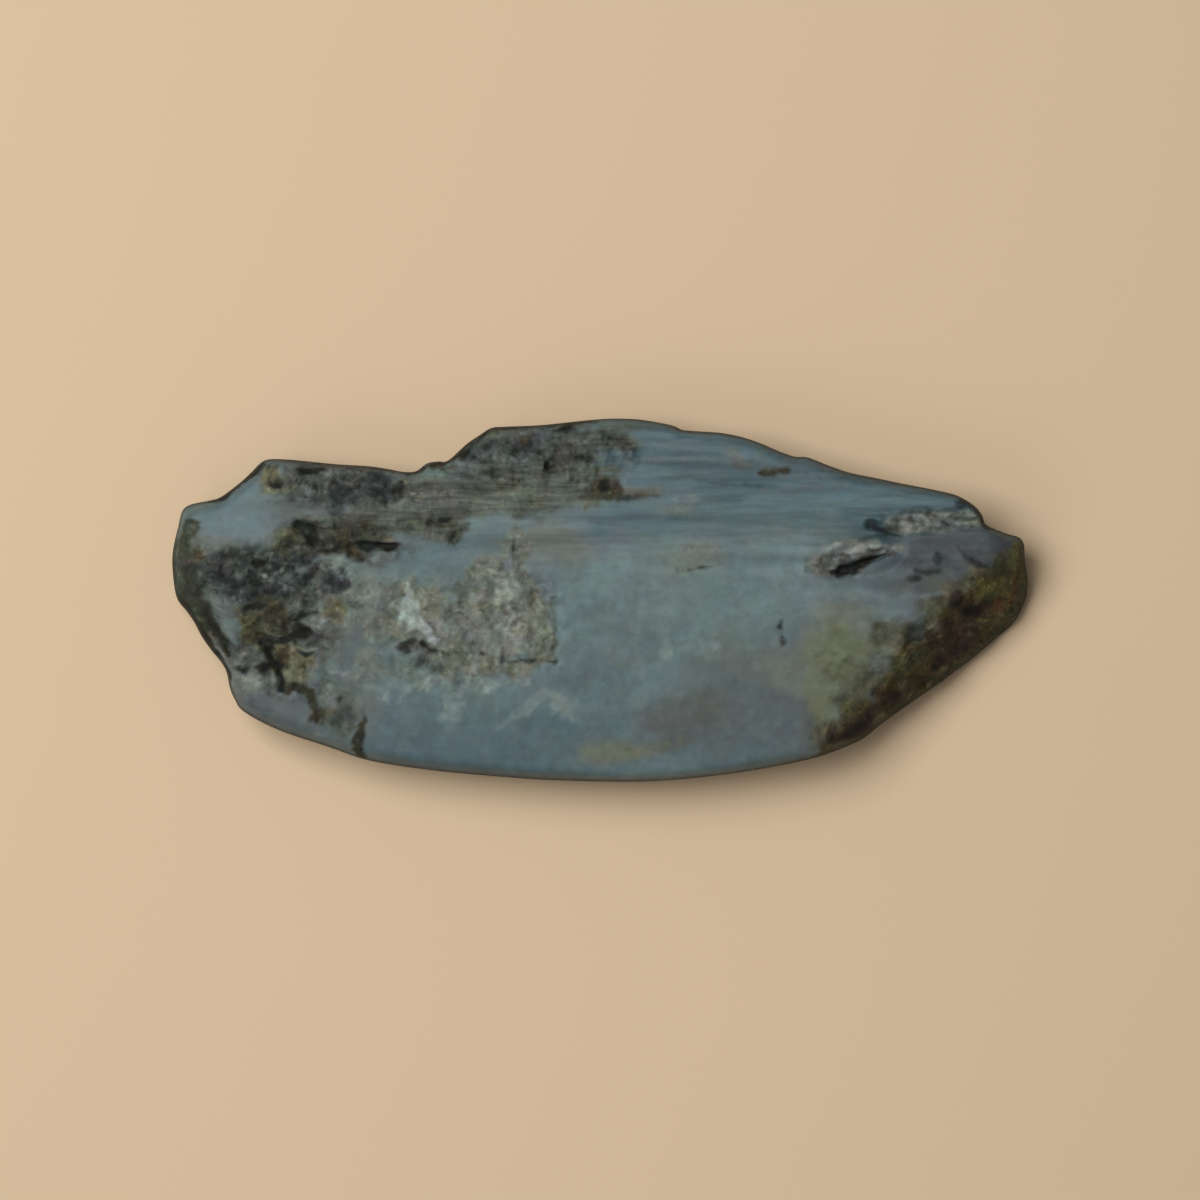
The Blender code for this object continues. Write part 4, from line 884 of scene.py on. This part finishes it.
def ridges(x, y):
    """Low ridges along the bands of the upper half: noise drawn out lengthways."""
    streaks = drawn_out(x, y, RIDGE_LEVEL, RIDGE_LENGTH, RIDGE_WIDTH, RIDGE_SLANT)
    return RIDGE_HEIGHT * banded_here(x, y) * streaks


def roughness_here(x, y):
    """Height of the lumps at a place: the tallest of the rough patches that reach it."""
    tallest = 0.0
    for middle, half_length, half_width, turn, height in ROUGH_PATCHES:
        inside = 1 - smooth_step(*ROUGH_FADE, patch_share(x, y, middle, half_length, half_width, turn))
        tallest = np.maximum(tallest, inside * height)
    return tallest


def rough_lumps(x, y):
    """Lumps in the rough patches, with grit finer than the solid's on them."""
    lumps = fractal(x, y, LUMP_LEVEL, LUMP_SIZE, 2) + GRIT_SHARE * fractal(x, y, GRIT_LEVEL, GRIT_SIZE, 2)
    return roughness_here(x, y) * lumps


def hollows(x, y):
    """Depth of the bowls and grooves: each one's depth times 1 minus a smooth step over its distance, with
    noise added to the distance so that its edge wanders."""
    depth = 0.0
    wander = BOWL_WANDER * noise(x, y, BOWL_LEVEL, BOWL_WANDER_SIZE)
    for middle, half_length, half_width, turn, bowl_depth in BOWLS:
        share = patch_share(x, y, middle, half_length, half_width, turn) + wander
        depth = depth + bowl_depth * (1 - smooth_step(*BOWL_FADE, share))
    wander = GROOVE_WANDER * fractal(x, y, GROOVE_LEVEL, GROOVE_WANDER_SIZE, 2)
    for *groove, groove_depth in GROOVES:
        share = groove_share(x, y, *groove) + wander
        depth = depth + groove_depth * (1 - smooth_step(*GROOVE_FADE, share))
    return depth


def fine_relief(x, y):
    """Relief too small for the solid, added up: the polish's waves, less pits in the cream matrix, plus
    fibres, less worn veins, each by the cover of its own marks."""
    pits = np.clip(fractal(x, y, PIT_LEVEL, MATRIX_PIT_SIZE, 2), 0, 1)
    fibres = drawn_out(x, y, FIBRE_LEVEL, FIBRE_LENGTH, FIBRE_WIDTH, FIBRE_SLANT)
    places = mark_places(x, y)
    return (
        POLISH_WAVE_HEIGHT * noise(x, y, POLISH_LEVEL, POLISH_WAVE_SIZE)
        - MATRIX_PIT_DEPTH * cover_of(*places, "cream") * pits
        + FIBRE_HEIGHT * cover_of(*places, "fibre") * fibres
        - VEIN_DEPTH * cover_of(*places, "black")
    )


def face_height(x, y):
    """Height of the broad face over a point, before its rim is rounded: a crown that falls by the square
    of the distance, slow waves, facets and ledge, and then ridges, lumps, hollows and fine relief."""
    height = FACE_HEIGHT - CROWN_ALONG * (x / HALF_LENGTH) ** 2 - CROWN_ACROSS * (y / HALF_WIDTH) ** 2
    height = height + FACE_WAVE_HEIGHT * noise(x, y, WAVE_LEVEL, FACE_WAVE_SIZE)
    height = facets(x, y, height) - ledge(x, y)
    return height + ridges(x, y) + rough_lumps(x, y) - hollows(x, y) + fine_relief(x, y)


def rounded_height(x, y):
    """The face with its rim rounded: a quarter of an ellipse, `width` wide and `drop` high."""
    width, drop, _ = rim_shape(x, y)
    share = np.clip(1 - nearest_rim(x, y)[0] / width, 0, 1)
    return face_height(x, y) - drop * (1 - np.sqrt(1 - share**2))


# ---- Finishes ----
def warped(x, y, reach, size, level, octaves=2):
    """Places pushed up to `reach` by noise, so that what is drawn through them has a wandering edge."""
    return [place + reach * fractal(x, y, level + n, size, octaves) for n, place in enumerate((x, y))]


def restless(x):
    """How strongly the marks' edges wander: fully at the left, less on the clear stone at the right."""
    return 1 - WARP_CALM * smooth_step(*WARP_CALM_ALONG, x)


def mark_places(x, y):
    """Places pushed about for the marks, coarsely and then finely, as far as the edges are restless."""
    share = restless(x)
    places = warped(x, y, share * WARP_COARSE, WARP_COARSE_SIZE, COARSE_WARP_LEVEL)
    return warped(*places, share * WARP_FINE, WARP_FINE_SIZE, FINE_WARP_LEVEL, 1)


def turned(x, y, angle):
    """Places turned about the middle by an angle in degrees."""
    cos, sin = np.cos(np.radians(angle)), np.sin(np.radians(angle))
    return x * cos - y * sin, x * sin + y * cos


def frayed(x, y, level, size):
    """Noise with nearly as much finer noise on it: each octave half the size, FRAY times the height, and
    turned, so that the lattice behind it doesn't show."""
    octaves = range(3 if size > FRAY_THREE_FROM else 2)
    places = [turned(x, y, FRAY_TURN * (n + 1)) for n in octaves]
    return sum(FRAY**n * noise(*places[n], level + n, size * 0.5**n) for n in octaves)


def threads(x, y, level, size):
    """Thin wandering threads, 1 on the thread: where the sum of two turned noises passes through nought,
    wherever a third noise is high."""
    first = noise(*turned(x, y, THREAD_TURNS[0]), level, size)
    second = noise(*turned(x, y, THREAD_TURNS[1]), level + 1, size / 2)
    near = 1 - smooth_step(0.0, THREAD_WIDTH, np.abs(first + SECOND_THREAD * second))
    return near * smooth_step(*THREAD_FADE, noise(x, y, level + 2, 2 * size))


def inside_patch(x, y, patch, ragged):
    """The patch's cover within an ellipse, falling to none a little past its edge, which `ragged` moves
    in and out in millimetres."""
    middle_x, middle_y, half_length, half_width, turn, cover = patch
    share = patch_share(x, y, (middle_x, middle_y), half_length, half_width, turn)
    share = share + ragged / min(half_length, half_width)
    return cover * (1 - smooth_step(*PATCH_FADE, share))


def inside_line(x, y, line, ragged):
    """The line's cover within its half width of any of its straight pieces, falling to none beside it,
    with its edge moved in and out by `ragged`."""
    cover, *points = line
    nearest = FAR_OFF
    for start, end in zip(points[:-1], points[1:]):
        reach, share = off_run(x, y, start, end)
        nearest = np.minimum(nearest, reach - start[2] - (end[2] - start[2]) * share)
    return cover * (1 - smooth_step(*LINE_FADE, nearest + ragged))


def crust_share(x, y, fade):
    """1 on the crust at the lower right, by a smooth step over how far each place lies past its edge."""
    wander = CRUST_WANDER * fractal(x, y, CRUST_LEVEL, CRUST_WANDER_SIZE, 3)
    return smooth_step(*fade, x - np.interp(y, CRUST_EDGE_Y, CRUST_EDGE_X) + wander)


def cover_of(x, y, finish, ragged=0.0):
    """How much of one finish lies at each place: the strongest of its patches and lines. A halo lies
    over the marks it belongs to, grown a little."""
    if finish in CRUST_FADES:
        return crust_share(x, y, CRUST_FADES[finish])
    finish, grown = HALOES.get(finish, (finish, 0.0))
    cover = np.zeros_like(x)
    for patch in PATCHES.get(finish, ()):
        cover = np.maximum(cover, inside_patch(x, y, patch, ragged - grown))
    for line in LINES.get(finish, ()):
        cover = np.maximum(cover, inside_line(x, y, line, ragged - grown))
    return cover


def broken_up(cover, x, y, size, stretch, softness, level):
    """A cover turned into blotches: evenly spread noise is compared with it, so a share `cover` of each
    place is covered, in blotches about `size` across and `stretch` times as long."""
    slant = FIBRE_SLANT if stretch > STREAKY_FROM else 0
    even = even_share(EVEN_SPREAD * frayed(x / stretch, y - slant * x, level, size))
    return smooth_step(-softness, softness, cover * (1 + 2 * softness) - softness - even)


def laid_over(colour, tint, share):
    """One colour over another by a share from 0 to 1 at each place."""
    return colour + (np.array(tint) - colour) * share[:, None]


def face_finish(x, y):
    """Colour and roughness of the face, each the mean of four places round the point, so that marks finer
    than the mesh blur instead of breaking into teeth."""
    around = [finish_at(x + step_x, y + step_y) for step_x, step_y in AROUND]
    return [sum(part) / len(AROUND) for part in zip(*around)]


def streaked_here(x, y):
    """1 where the stone is streaky: towards the back edge, and less so at its left end."""
    return smooth_step(*STREAK_ACROSS, y) * smooth_step(*STREAK_ALONG, x)


def fibre_share(x, y):
    """How fibrous each place is: the fibre patches, and less so the streaky stone."""
    return np.maximum(cover_of(*mark_places(x, y), "fibre"), BAND_FIBRE * streaked_here(x, y))


def drifting_stone(x, y):
    """The stone's own colour, with clouds of each drift's colour where noise is high."""
    colour = np.tile(np.array(STONE), (len(x), 1))
    for level, (tint, size, share) in enumerate(DRIFTS):
        clouds = even_share(DRIFT_SPREAD * fractal(x / DRIFT_STRETCH, y, DRIFT_LEVEL + level, size, 3))
        colour = laid_over(colour, tint, share * smooth_step(*DRIFT_FADE, clouds))
    return colour


def band_contrast(x, y):
    """How much lighter or darker the bands make each place: noise drawn out lengthways."""
    bands = drawn_out(x, y, BAND_LEVEL, BAND_LENGTH, BAND_WIDTH, BAND_SLANT, 3)
    return BAND_CONTRAST * bands * banded_here(x, y)


def grain_of(x, y, rough, threaded):
    """The factor that grain puts on a colour: e to the power of its contrast times noise, threads and
    streaks, with a slow shift between warm and cool and between green and pink."""
    grain = frayed(x, y, GRAIN_LEVEL, GRAIN_SIZE)
    streaks = frayed(x / STREAK_STRETCH, y - FIBRE_SLANT * x, STREAK_LEVEL, STREAK_SIZE)
    light = threads(x, y, LIGHT_THREAD_LEVEL, THREAD_SIZE)
    dark = threads(x, y, DARK_THREAD_LEVEL, DARK_THREAD_SIZE)
    grain = grain + (THREAD_LIGHT * light - THREAD_DARK * dark) * rough * threaded
    grain = grain + (STREAK_CONTRAST * streaks - grain) * (STREAK_SHARE * streaked_here(x, y))
    contrast = GRAIN_CALM + (GRAIN_ROUGH - GRAIN_CALM) * rough
    tinted = GRAIN_HUE * (GRAIN_HUE_CALM + (1 - GRAIN_HUE_CALM) * rough)
    warmer = tinted * frayed(x, y, WARM_LEVEL, GRAIN_HUE_SIZE)
    greener = tinted * frayed(x, y, GREEN_LEVEL, GRAIN_HUE_SIZE)
    return np.exp((contrast * grain)[:, None] + warmer[:, None] * WARMER + greener[:, None] * GREENER)


def finish_at(x, y):
    """Colour and roughness at single places: each coat is laid over those before it, where its cover and
    its break-up put it, and then grain over all of it."""
    colour, roughness = drifting_stone(x, y), np.full(len(x), STONE_ROUGHNESS)
    wide = warped(x, y, TINT_WARP, TINT_WARP_SIZE, TINT_WARP_LEVEL)
    near = mark_places(x, y)
    ragged = RAGGED * restless(x) * frayed(*near, RAGGED_LEVEL, RAGGED_SIZE)
    covers = {}
    for number, (finish, share, tint, coat_roughness, size, stretch, softness) in enumerate(COATS):
        if finish == "bands":
            colour = colour * (1 + band_contrast(x, y))[:, None]
            continue
        places = near if stretch else wide
        if finish not in covers:
            covers[finish] = cover_of(*places, finish, ragged)
        cover = share * covers[finish]
        if size:
            spread = (x, y) if stretch > STREAKY_FROM else places
            level = COAT_LEVEL + COAT_LEVEL_STEP * number
            cover = broken_up(cover, *spread, size, stretch, softness, level)
        colour = laid_over(colour, tint, cover)
        roughness = roughness + (coat_roughness - roughness) * cover
    rough = smooth_step(*ROUGH_RANGE, roughness)
    return colour * grain_of(x, y, rough, 1 - covers["thin crust"]), roughness


# ---- The mesh ----
def crowded_out(out):
    """Rings brought closer together near the rim, where the surface turns down."""
    inward = np.clip((1 - out) / EDGE_BAND, 0, 1)
    return np.where(out > 1 - EDGE_BAND, 1 - EDGE_BAND * inward**EDGE_CROWDING, out)


def top_surface(a, b):
    """The broad face over the grid. a, b in -1..1 lie on a square ring about the middle: the outline's
    point at the same share of the way round, drawn in by how far out the ring is, is the place, and its
    height is the rounded height there."""
    around, out = ring_share(a, b)
    rim_x, rim_y, _, _ = outline_at(around)
    out = crowded_out(out)
    x, y = rim_x * out, rim_y * out
    return np.stack([x, y, rounded_height(x, y)], axis=1)


def flank_surface(a, b, share, rim_height):
    """The flank under the grid's edge: share runs from 0 at the rim to 1 at the sawn face, set in by the
    undercut and by lumps that fade towards the rim."""
    around, _ = ring_share(a, b)
    rim_x, rim_y, normal_x, normal_y = outline_at(around)
    down = share * rim_height / (rim_height + SAW_MARGIN)
    height = rim_height * (1 - share)
    lumps = FLANK_LUMP_DEPTH * fractal(rim_x, rim_y, height * FLANK_LUMP_SQUEEZE, FLANK_LUMP_SIZE, 4)
    lump_share = np.sin(np.pi * np.minimum(down, FLANK_LUMP_FADE_END))
    _, _, undercut = rim_shape(rim_x, rim_y)
    inset = undercut * down**2 + (FLANK_INSET + lumps) * lump_share
    return np.stack([rim_x - normal_x * inset, rim_y - normal_y * inset, height], axis=1)


def bands_between(first, second):
    """Faces between two closed rings of point numbers, facing outwards where the second lies below."""
    return np.stack([second, np.roll(second, -1), np.roll(first, -1), first], axis=1)


def stone_mesh():
    """Points, faces, the fan of faces round the middle of the sawn face, and each point's share down the
    flank: 0 on the face, 1 at the flank's foot, and UNDERNEATH on the sawn face."""
    across, up = np.meshgrid(np.linspace(-1, 1, COLUMNS + 1), np.linspace(-1, 1, ROWS + 1))
    top = top_surface(across.ravel(), up.ravel())
    number = np.arange(across.size).reshape(across.shape)
    corners = [number[:-1, :-1], number[:-1, 1:], number[1:, 1:], number[1:, :-1]]
    faces = [np.stack(corners, axis=2).reshape(-1, 4)]
    edge = np.concatenate([number[0, :-1], number[:-1, -1], number[-1, :0:-1], number[:0:-1, 0]])
    edge_a, edge_b = across.ravel()[edge], up.ravel()[edge]
    points, down, ring = [top], [np.full(len(top), ON_FACE)], edge
    total = len(top)
    for row in range(1, FLANK_ROWS + 1):
        share = row / FLANK_ROWS
        points.append(flank_surface(edge_a, edge_b, share, top[edge, 2]))
        down.append(np.full(len(edge), share))
        below = total + np.arange(len(edge))
        faces.append(bands_between(ring, below))
        total, ring = total + len(edge), below
    sole = points[-1]
    for row in range(1, BASE_RINGS):
        points.append(sole * (1 - row / BASE_RINGS, 1 - row / BASE_RINGS, 0))
        down.append(np.full(len(edge), UNDERNEATH))
        inner = total + np.arange(len(edge))
        faces.append(bands_between(ring, inner))
        total, ring = total + len(edge), inner
    points.append(np.zeros((1, 3)))
    down.append(np.array([UNDERNEATH]))
    centre = np.full(len(edge), total)
    fan = np.stack([centre, np.roll(ring, -1), ring], axis=1)
    return np.vstack(points), faces, fan, np.concatenate(down)


def mesh_from(name, points, quads, triangles):
    """A mesh from whole arrays: points in millimetres, four-sided faces and three-sided faces."""
    loops = np.concatenate([quads.ravel(), triangles.ravel()]).astype(np.int32)
    sizes = np.concatenate([np.full(len(quads), 4), np.full(len(triangles), 3)])
    starts = np.concatenate([[0], np.cumsum(sizes)[:-1]]).astype(np.int32)
    mesh = bpy.data.meshes.new(name)
    mesh.vertices.add(len(points))
    mesh.vertices.foreach_set("co", (points * MM).astype(np.float32).ravel())
    mesh.loops.add(len(loops))
    mesh.loops.foreach_set("vertex_index", loops)
    mesh.polygons.add(len(sizes))
    mesh.polygons.foreach_set("loop_start", starts)
    mesh.update(calc_edges=True)
    mesh.validate()
    return mesh


def placed(name, data):
    """A new object in the scene that holds a mesh, a lamp or the camera."""
    holder = bpy.data.objects.new(name, data)
    bpy.context.scene.collection.objects.link(holder)
    return holder


def give_number(mesh, name, values):
    """Stores one number per point for the material to read."""
    attribute = mesh.attributes.new(name, "FLOAT", "POINT")
    attribute.data.foreach_set("value", np.asarray(values, np.float32))


def give_colour(mesh, name, colours):
    """Stores one colour per point for the material to read."""
    attribute = mesh.attributes.new(name, "FLOAT_COLOR", "POINT")
    rgba = np.column_stack([colours, np.ones(len(colours))]).astype(np.float32)
    attribute.data.foreach_set("color", rgba.ravel())


def stone_finish(points, down):
    """Colour, roughness and share of fibres at each point: the face's finish with the marks laid flat past
    the rim, then the dark skin along the rim, partly rind and partly painted shade, the flank, and the
    sawn face underneath."""
    x, y, z = points.T
    inside, normal_x, normal_y = nearest_rim(x, y)
    fallen = MARK_SPREAD * np.maximum(face_height(x, y) - z, 0)
    flat_x, flat_y = x + normal_x * fallen, y + normal_y * fallen
    colour, roughness = face_finish(flat_x, flat_y)

    # The rim's dark line: partly rind, partly painted shade where the rounded edge rolls away from the
    # light
    skin_and_shade = (1 - smooth_step(0.0, RIM_SKIN_AND_SHADE_WIDTH, inside)) * (down < 1)
    colour = laid_over(colour, RIM_SKIN_AND_SHADE, RIM_SKIN_AND_SHADE_SHARE * skin_and_shade)
    roughness = roughness + (FLANK_ROUGHNESS - roughness) * RIM_SKIN_AND_SHADE_SHARE * skin_and_shade

    on_flank = smooth_step(*FLANK_FADE, down) * (down <= 1)
    blotches = BLOTCH_CONTRAST * fractal(x, y, z * BLOTCH_SQUEEZE, BLOTCH_SIZE)
    colour = laid_over(colour, np.array(FLANK) * (1 + blotches)[:, None], FLANK_SHARE * on_flank)
    roughness = roughness + (FLANK_ROUGHNESS - roughness) * on_flank

    sawn = (down >= 1).astype(float)
    clouds = SAWN_CONTRAST * fractal(x, SAWN_CLOUD_STRETCH * y, BASE_LEVEL, SAWN_CLOUD_SIZE)
    colour = laid_over(colour, np.array(SAWN) * (1 + clouds)[:, None], sawn)
    roughness = roughness + (SAWN_ROUGHNESS - roughness) * sawn
    return colour * TONE, roughness, fibre_share(flat_x, flat_y) * (down < 1) * (1 - skin_and_shade)


def agate_piece():
    """The slice: its mesh, with the colour, roughness and share of fibres at each of its points."""
    points, quads, fan, down = stone_mesh()
    mesh = mesh_from("agate_stone", points, np.vstack(quads), fan)
    colour, roughness, fibre = stone_finish(points, down)
    give_colour(mesh, "stone_colour", colour)
    give_number(mesh, "stone_roughness", roughness)
    give_number(mesh, "stone_fibre", fibre)
    mesh.polygons.foreach_set("use_smooth", np.ones(len(mesh.polygons), bool))
    return placed("agate_stone", mesh)


# ---- Materials ----
# The two shading groups: name, starting strength, the noise's detail and roughness, the noise's values
# that count as least and as full, and how much the least of it shades
MOTTLE = ("Mottle", 0.2, 4.0, 0.6, 0.25, 0.75, -1.0)
SPECKS = ("Specks", -0.5, 2.0, 0.5, 0.57, 0.66, 0.0)
# How places are scaled before a pattern reads them: to millimetres, and drawn out along bands and fibres
IN_MM, ALONG_BANDS, ALONG_FIBRES = (1000, 1000, 1000), (140, 1000, 500), (110, 1000, 500)
# The roughnesses at which stone counts as clear and as coarse
COARSE_RANGE = (0.48, 0.75)
# Faint clouds, all over and along the bands: fineness, strength
CLOUD_MOTTLE, BAND_MOTTLE = (0.7, 0.05), (1.3, 0.05)
# Grain: its strength on clear stone, and what coarse stone adds; then the fibres
GRAIN_FINENESS, GRAIN_CLEAR, GRAIN_COARSE = 1.9, 0.03, 0.34
FIBRE_FINENESS, FIBRE_STRENGTH = 2.4, 0.55
# Specks on coarse stone; the light ones are shifted, so that they don't fall on the dark ones
DARK_SPECKS_FINENESS, DARK_SPECKS = 1.5, -0.5
LIGHT_SPECKS_FINENESS, LIGHT_SPECKS, LIGHT_SPECKS_SHIFT = 1.3, 0.45, (31, 17, 5)
# The bump's noise, and its height in millimetres on clear stone and what coarse stone adds
BUMP_FINENESS, BUMP_DETAIL, BUMP_ROUGHNESS = 2.6, 4.0, 0.65
BUMP_CLEAR, BUMP_COARSE = 0.006, 0.12
AGATE_IOR, AGATE_SPECULAR = 1.54, 0.22
FLOOR_COLOUR, FLOOR_ROUGHNESS, FLOOR_SPECULAR = (0.64, 0.485, 0.32, 1), 0.85, 0.2


def add(tree, kind, inputs=None, **settings):
    """A node with its settings; each input is given as a value or as the socket to link to it."""
    made = tree.nodes.new(kind)
    for name, value in settings.items():
        setattr(made, name, value)
    for key, value in (inputs or {}).items():
        if isinstance(value, bpy.types.NodeSocket):
            tree.links.new(value, made.inputs[key])
        else:
            made.inputs[key].default_value = value
    return made


def maths(tree, operation, first, second=0.0, third=0.0):
    """The result of one Math node."""
    return add(tree, "ShaderNodeMath", {0: first, 1: second, 2: third}, operation=operation).outputs[0]


def new_group(name, inputs, outputs):
    """An empty node group with named sockets, and its input and output nodes."""
    group = bpy.data.node_groups.new(name, "ShaderNodeTree")
    for socket_name, kind, value in inputs:
        socket = group.interface.new_socket(socket_name, in_out="INPUT", socket_type=kind)
        if value is not None:
            socket.default_value = value
    for socket_name, kind in outputs:
        group.interface.new_socket(socket_name, in_out="OUTPUT", socket_type=kind)
    return group, group.nodes.new("NodeGroupInput"), group.nodes.new("NodeGroupOutput")


def shading_group(name, strength, detail, roughness, low, high, least):
    """A group that makes a colour lighter or darker by noise: Colour times 1 + Strength s, where s goes
    from `least` to 1 as the noise goes from `low` to `high`."""
    group, taken, given = new_group(
        name,
        (("Colour", "NodeSocketColor", (0.5, 0.5, 0.5, 1)), ("Place", "NodeSocketVector", None),
         ("Fineness", "NodeSocketFloat", 1.0), ("Strength", "NodeSocketFloat", strength)),
        (("Colour", "NodeSocketColor"),),
    )
    inputs = {
        "Vector": taken.outputs["Place"], "Scale": taken.outputs["Fineness"],
        "Detail": detail, "Roughness": roughness,
    }
    lumps = add(group, "ShaderNodeTexNoise", inputs).outputs[0]
    share = add(group, "ShaderNodeMapRange", {0: lumps, 1: low, 2: high, 3: least, 4: 1.0}).outputs[0]
    factor = maths(group, "MULTIPLY_ADD", share, taken.outputs["Strength"], 1.0)
    inputs = {0: taken.outputs["Colour"], "Scale": factor}
    scaled = add(group, "ShaderNodeVectorMath", inputs, operation="SCALE").outputs[0]
    group.links.new(scaled, given.inputs["Colour"])
    return group


def new_material(name):
    """A material that is one Principled shader so far, with its nodes and that shader."""
    material = bpy.data.materials.new(name)
    material.use_nodes = True
    return material, material.node_tree, material.node_tree.nodes["Principled BSDF"]


def read(tree, name, output="Fac"):
    """What a mesh attribute holds."""
    return add(tree, "ShaderNodeAttribute", attribute_name=name).outputs[output]


def agate_material():
    """Blue-grey agate worn to a satin: the colour and roughness stored at its points, with mottles and
    specks finer than the points on the colour, and a bump that is higher where the stone is coarse."""
    mottle, specks = shading_group(*MOTTLE), shading_group(*SPECKS)
    material, tree, shader = new_material("agate stone")
    place = add(tree, "ShaderNodeTexCoord").outputs["Object"]
    in_mm, along_bands, along_fibres = (
        add(tree, "ShaderNodeMapping", {0: place, "Scale": scale}).outputs[0]
        for scale in (IN_MM, ALONG_BANDS, ALONG_FIBRES)
    )
    elsewhere = add(tree, "ShaderNodeMapping", {0: in_mm, "Location": LIGHT_SPECKS_SHIFT}).outputs[0]
    rough, fibre = read(tree, "stone_roughness"), read(tree, "stone_fibre")
    clear_end, coarse_end = COARSE_RANGE
    inputs = {0: rough, 1: clear_end, 2: coarse_end, 3: 0.0, 4: 1.0}
    coarse = add(tree, "ShaderNodeMapRange", inputs).outputs[0]

    stone = read(tree, "stone_colour", "Color")
    for group, vector, fineness, strength in (
        (mottle, in_mm, *CLOUD_MOTTLE),
        (mottle, along_bands, *BAND_MOTTLE),
        (mottle, in_mm, GRAIN_FINENESS, maths(tree, "MULTIPLY_ADD", coarse, GRAIN_COARSE, GRAIN_CLEAR)),
        (mottle, along_fibres, FIBRE_FINENESS, maths(tree, "MULTIPLY", fibre, FIBRE_STRENGTH)),
        (specks, in_mm, DARK_SPECKS_FINENESS, maths(tree, "MULTIPLY", coarse, DARK_SPECKS)),
        (specks, elsewhere, LIGHT_SPECKS_FINENESS, maths(tree, "MULTIPLY", coarse, LIGHT_SPECKS)),
    ):
        inputs = {"Colour": stone, "Place": vector, "Fineness": fineness, "Strength": strength}
        stone = add(tree, "ShaderNodeGroup", inputs, node_tree=group).outputs["Colour"]
    tree.links.new(stone, shader.inputs["Base Color"])
    tree.links.new(rough, shader.inputs["Roughness"])

    inputs = {"Vector": in_mm, "Scale": BUMP_FINENESS, "Detail": BUMP_DETAIL, "Roughness": BUMP_ROUGHNESS}
    grains = add(tree, "ShaderNodeTexNoise", inputs).outputs[0]
    height = maths(tree, "MULTIPLY", grains, maths(tree, "MULTIPLY_ADD", coarse, BUMP_COARSE, BUMP_CLEAR))
    bump = add(tree, "ShaderNodeBump", {"Height": height, "Distance": MM, "Strength": 1.0})
    tree.links.new(bump.outputs[0], shader.inputs["Normal"])
    shader.inputs["IOR"].default_value = AGATE_IOR
    shader.inputs["Specular IOR Level"].default_value = AGATE_SPECULAR
    return material


def floor_material():
    """Plain pale board, matt."""
    material, _, shader = new_material("pale floor")
    shader.inputs["Base Color"].default_value = FLOOR_COLOUR
    shader.inputs["Roughness"].default_value = FLOOR_ROUGHNESS
    shader.inputs["Specular IOR Level"].default_value = FLOOR_SPECULAR
    return material


# ---- Floor, light and camera ----
FLOOR_HALF = 1500.0
CAMERA_HEIGHT = 900.0
FRAME_WIDTH = 126.0
FRAME_HEIGHT = 4.0
SENSOR_WIDTH = 36.0
# Soft lamps: name, place, size, power
LAMPS = (
    ("key", (-260.0, 140.0, 620.0), 400.0, 4.25),
    ("fill", (-420.0, -380.0, 560.0), 420.0, 0.65),
)
ROOM_COLOUR, ROOM_BRIGHTNESS = (1.0, 0.985, 0.96, 1), 0.195


def floor_piece():
    """A level square under the stone."""
    corners = np.array([[-1, -1, 0], [1, -1, 0], [1, 1, 0], [-1, 1, 0]]) * FLOOR_HALF
    mesh = mesh_from("floor", corners, np.array([[0, 1, 2, 3]]), np.zeros((0, 3), int))
    mesh.materials.append(floor_material())
    return placed("floor", mesh)


def soft_lamp(name, place, size, power):
    """A large square lamp aimed at the stone."""
    lamp = bpy.data.lights.new(name, "AREA")
    lamp.shape = "SQUARE"
    lamp.size = size * MM
    lamp.energy = power
    holder = placed(name, lamp)
    holder.location = [c * MM for c in place]
    holder.rotation_euler = holder.location.to_track_quat("Z", "Y").to_euler()


def room_light():
    """Even pale light from all round."""
    world = bpy.data.worlds.new("room")
    world.use_nodes = True
    background = world.node_tree.nodes["Background"]
    background.inputs[0].default_value = ROOM_COLOUR
    background.inputs[1].default_value = ROOM_BRIGHTNESS
    bpy.context.scene.world = world


def straight_down_camera():
    """A long lens straight above the stone, whose frame is FRAME_WIDTH wide at FRAME_HEIGHT."""
    camera = bpy.data.cameras.new("camera")
    camera.sensor_width = SENSOR_WIDTH
    camera.lens = SENSOR_WIDTH * (CAMERA_HEIGHT - FRAME_HEIGHT) / FRAME_WIDTH
    holder = placed("camera", camera)
    holder.location = (0, 0, CAMERA_HEIGHT * MM)
    bpy.context.scene.camera = holder


stone = agate_piece()
stone.data.materials.append(agate_material())
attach(stone, "root")
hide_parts("agate_slice")
floor_piece()
for lamp in LAMPS:
    soft_lamp(*lamp)
room_light()
straight_down_camera()
bpy.context.scene.view_settings.view_transform = "Standard"
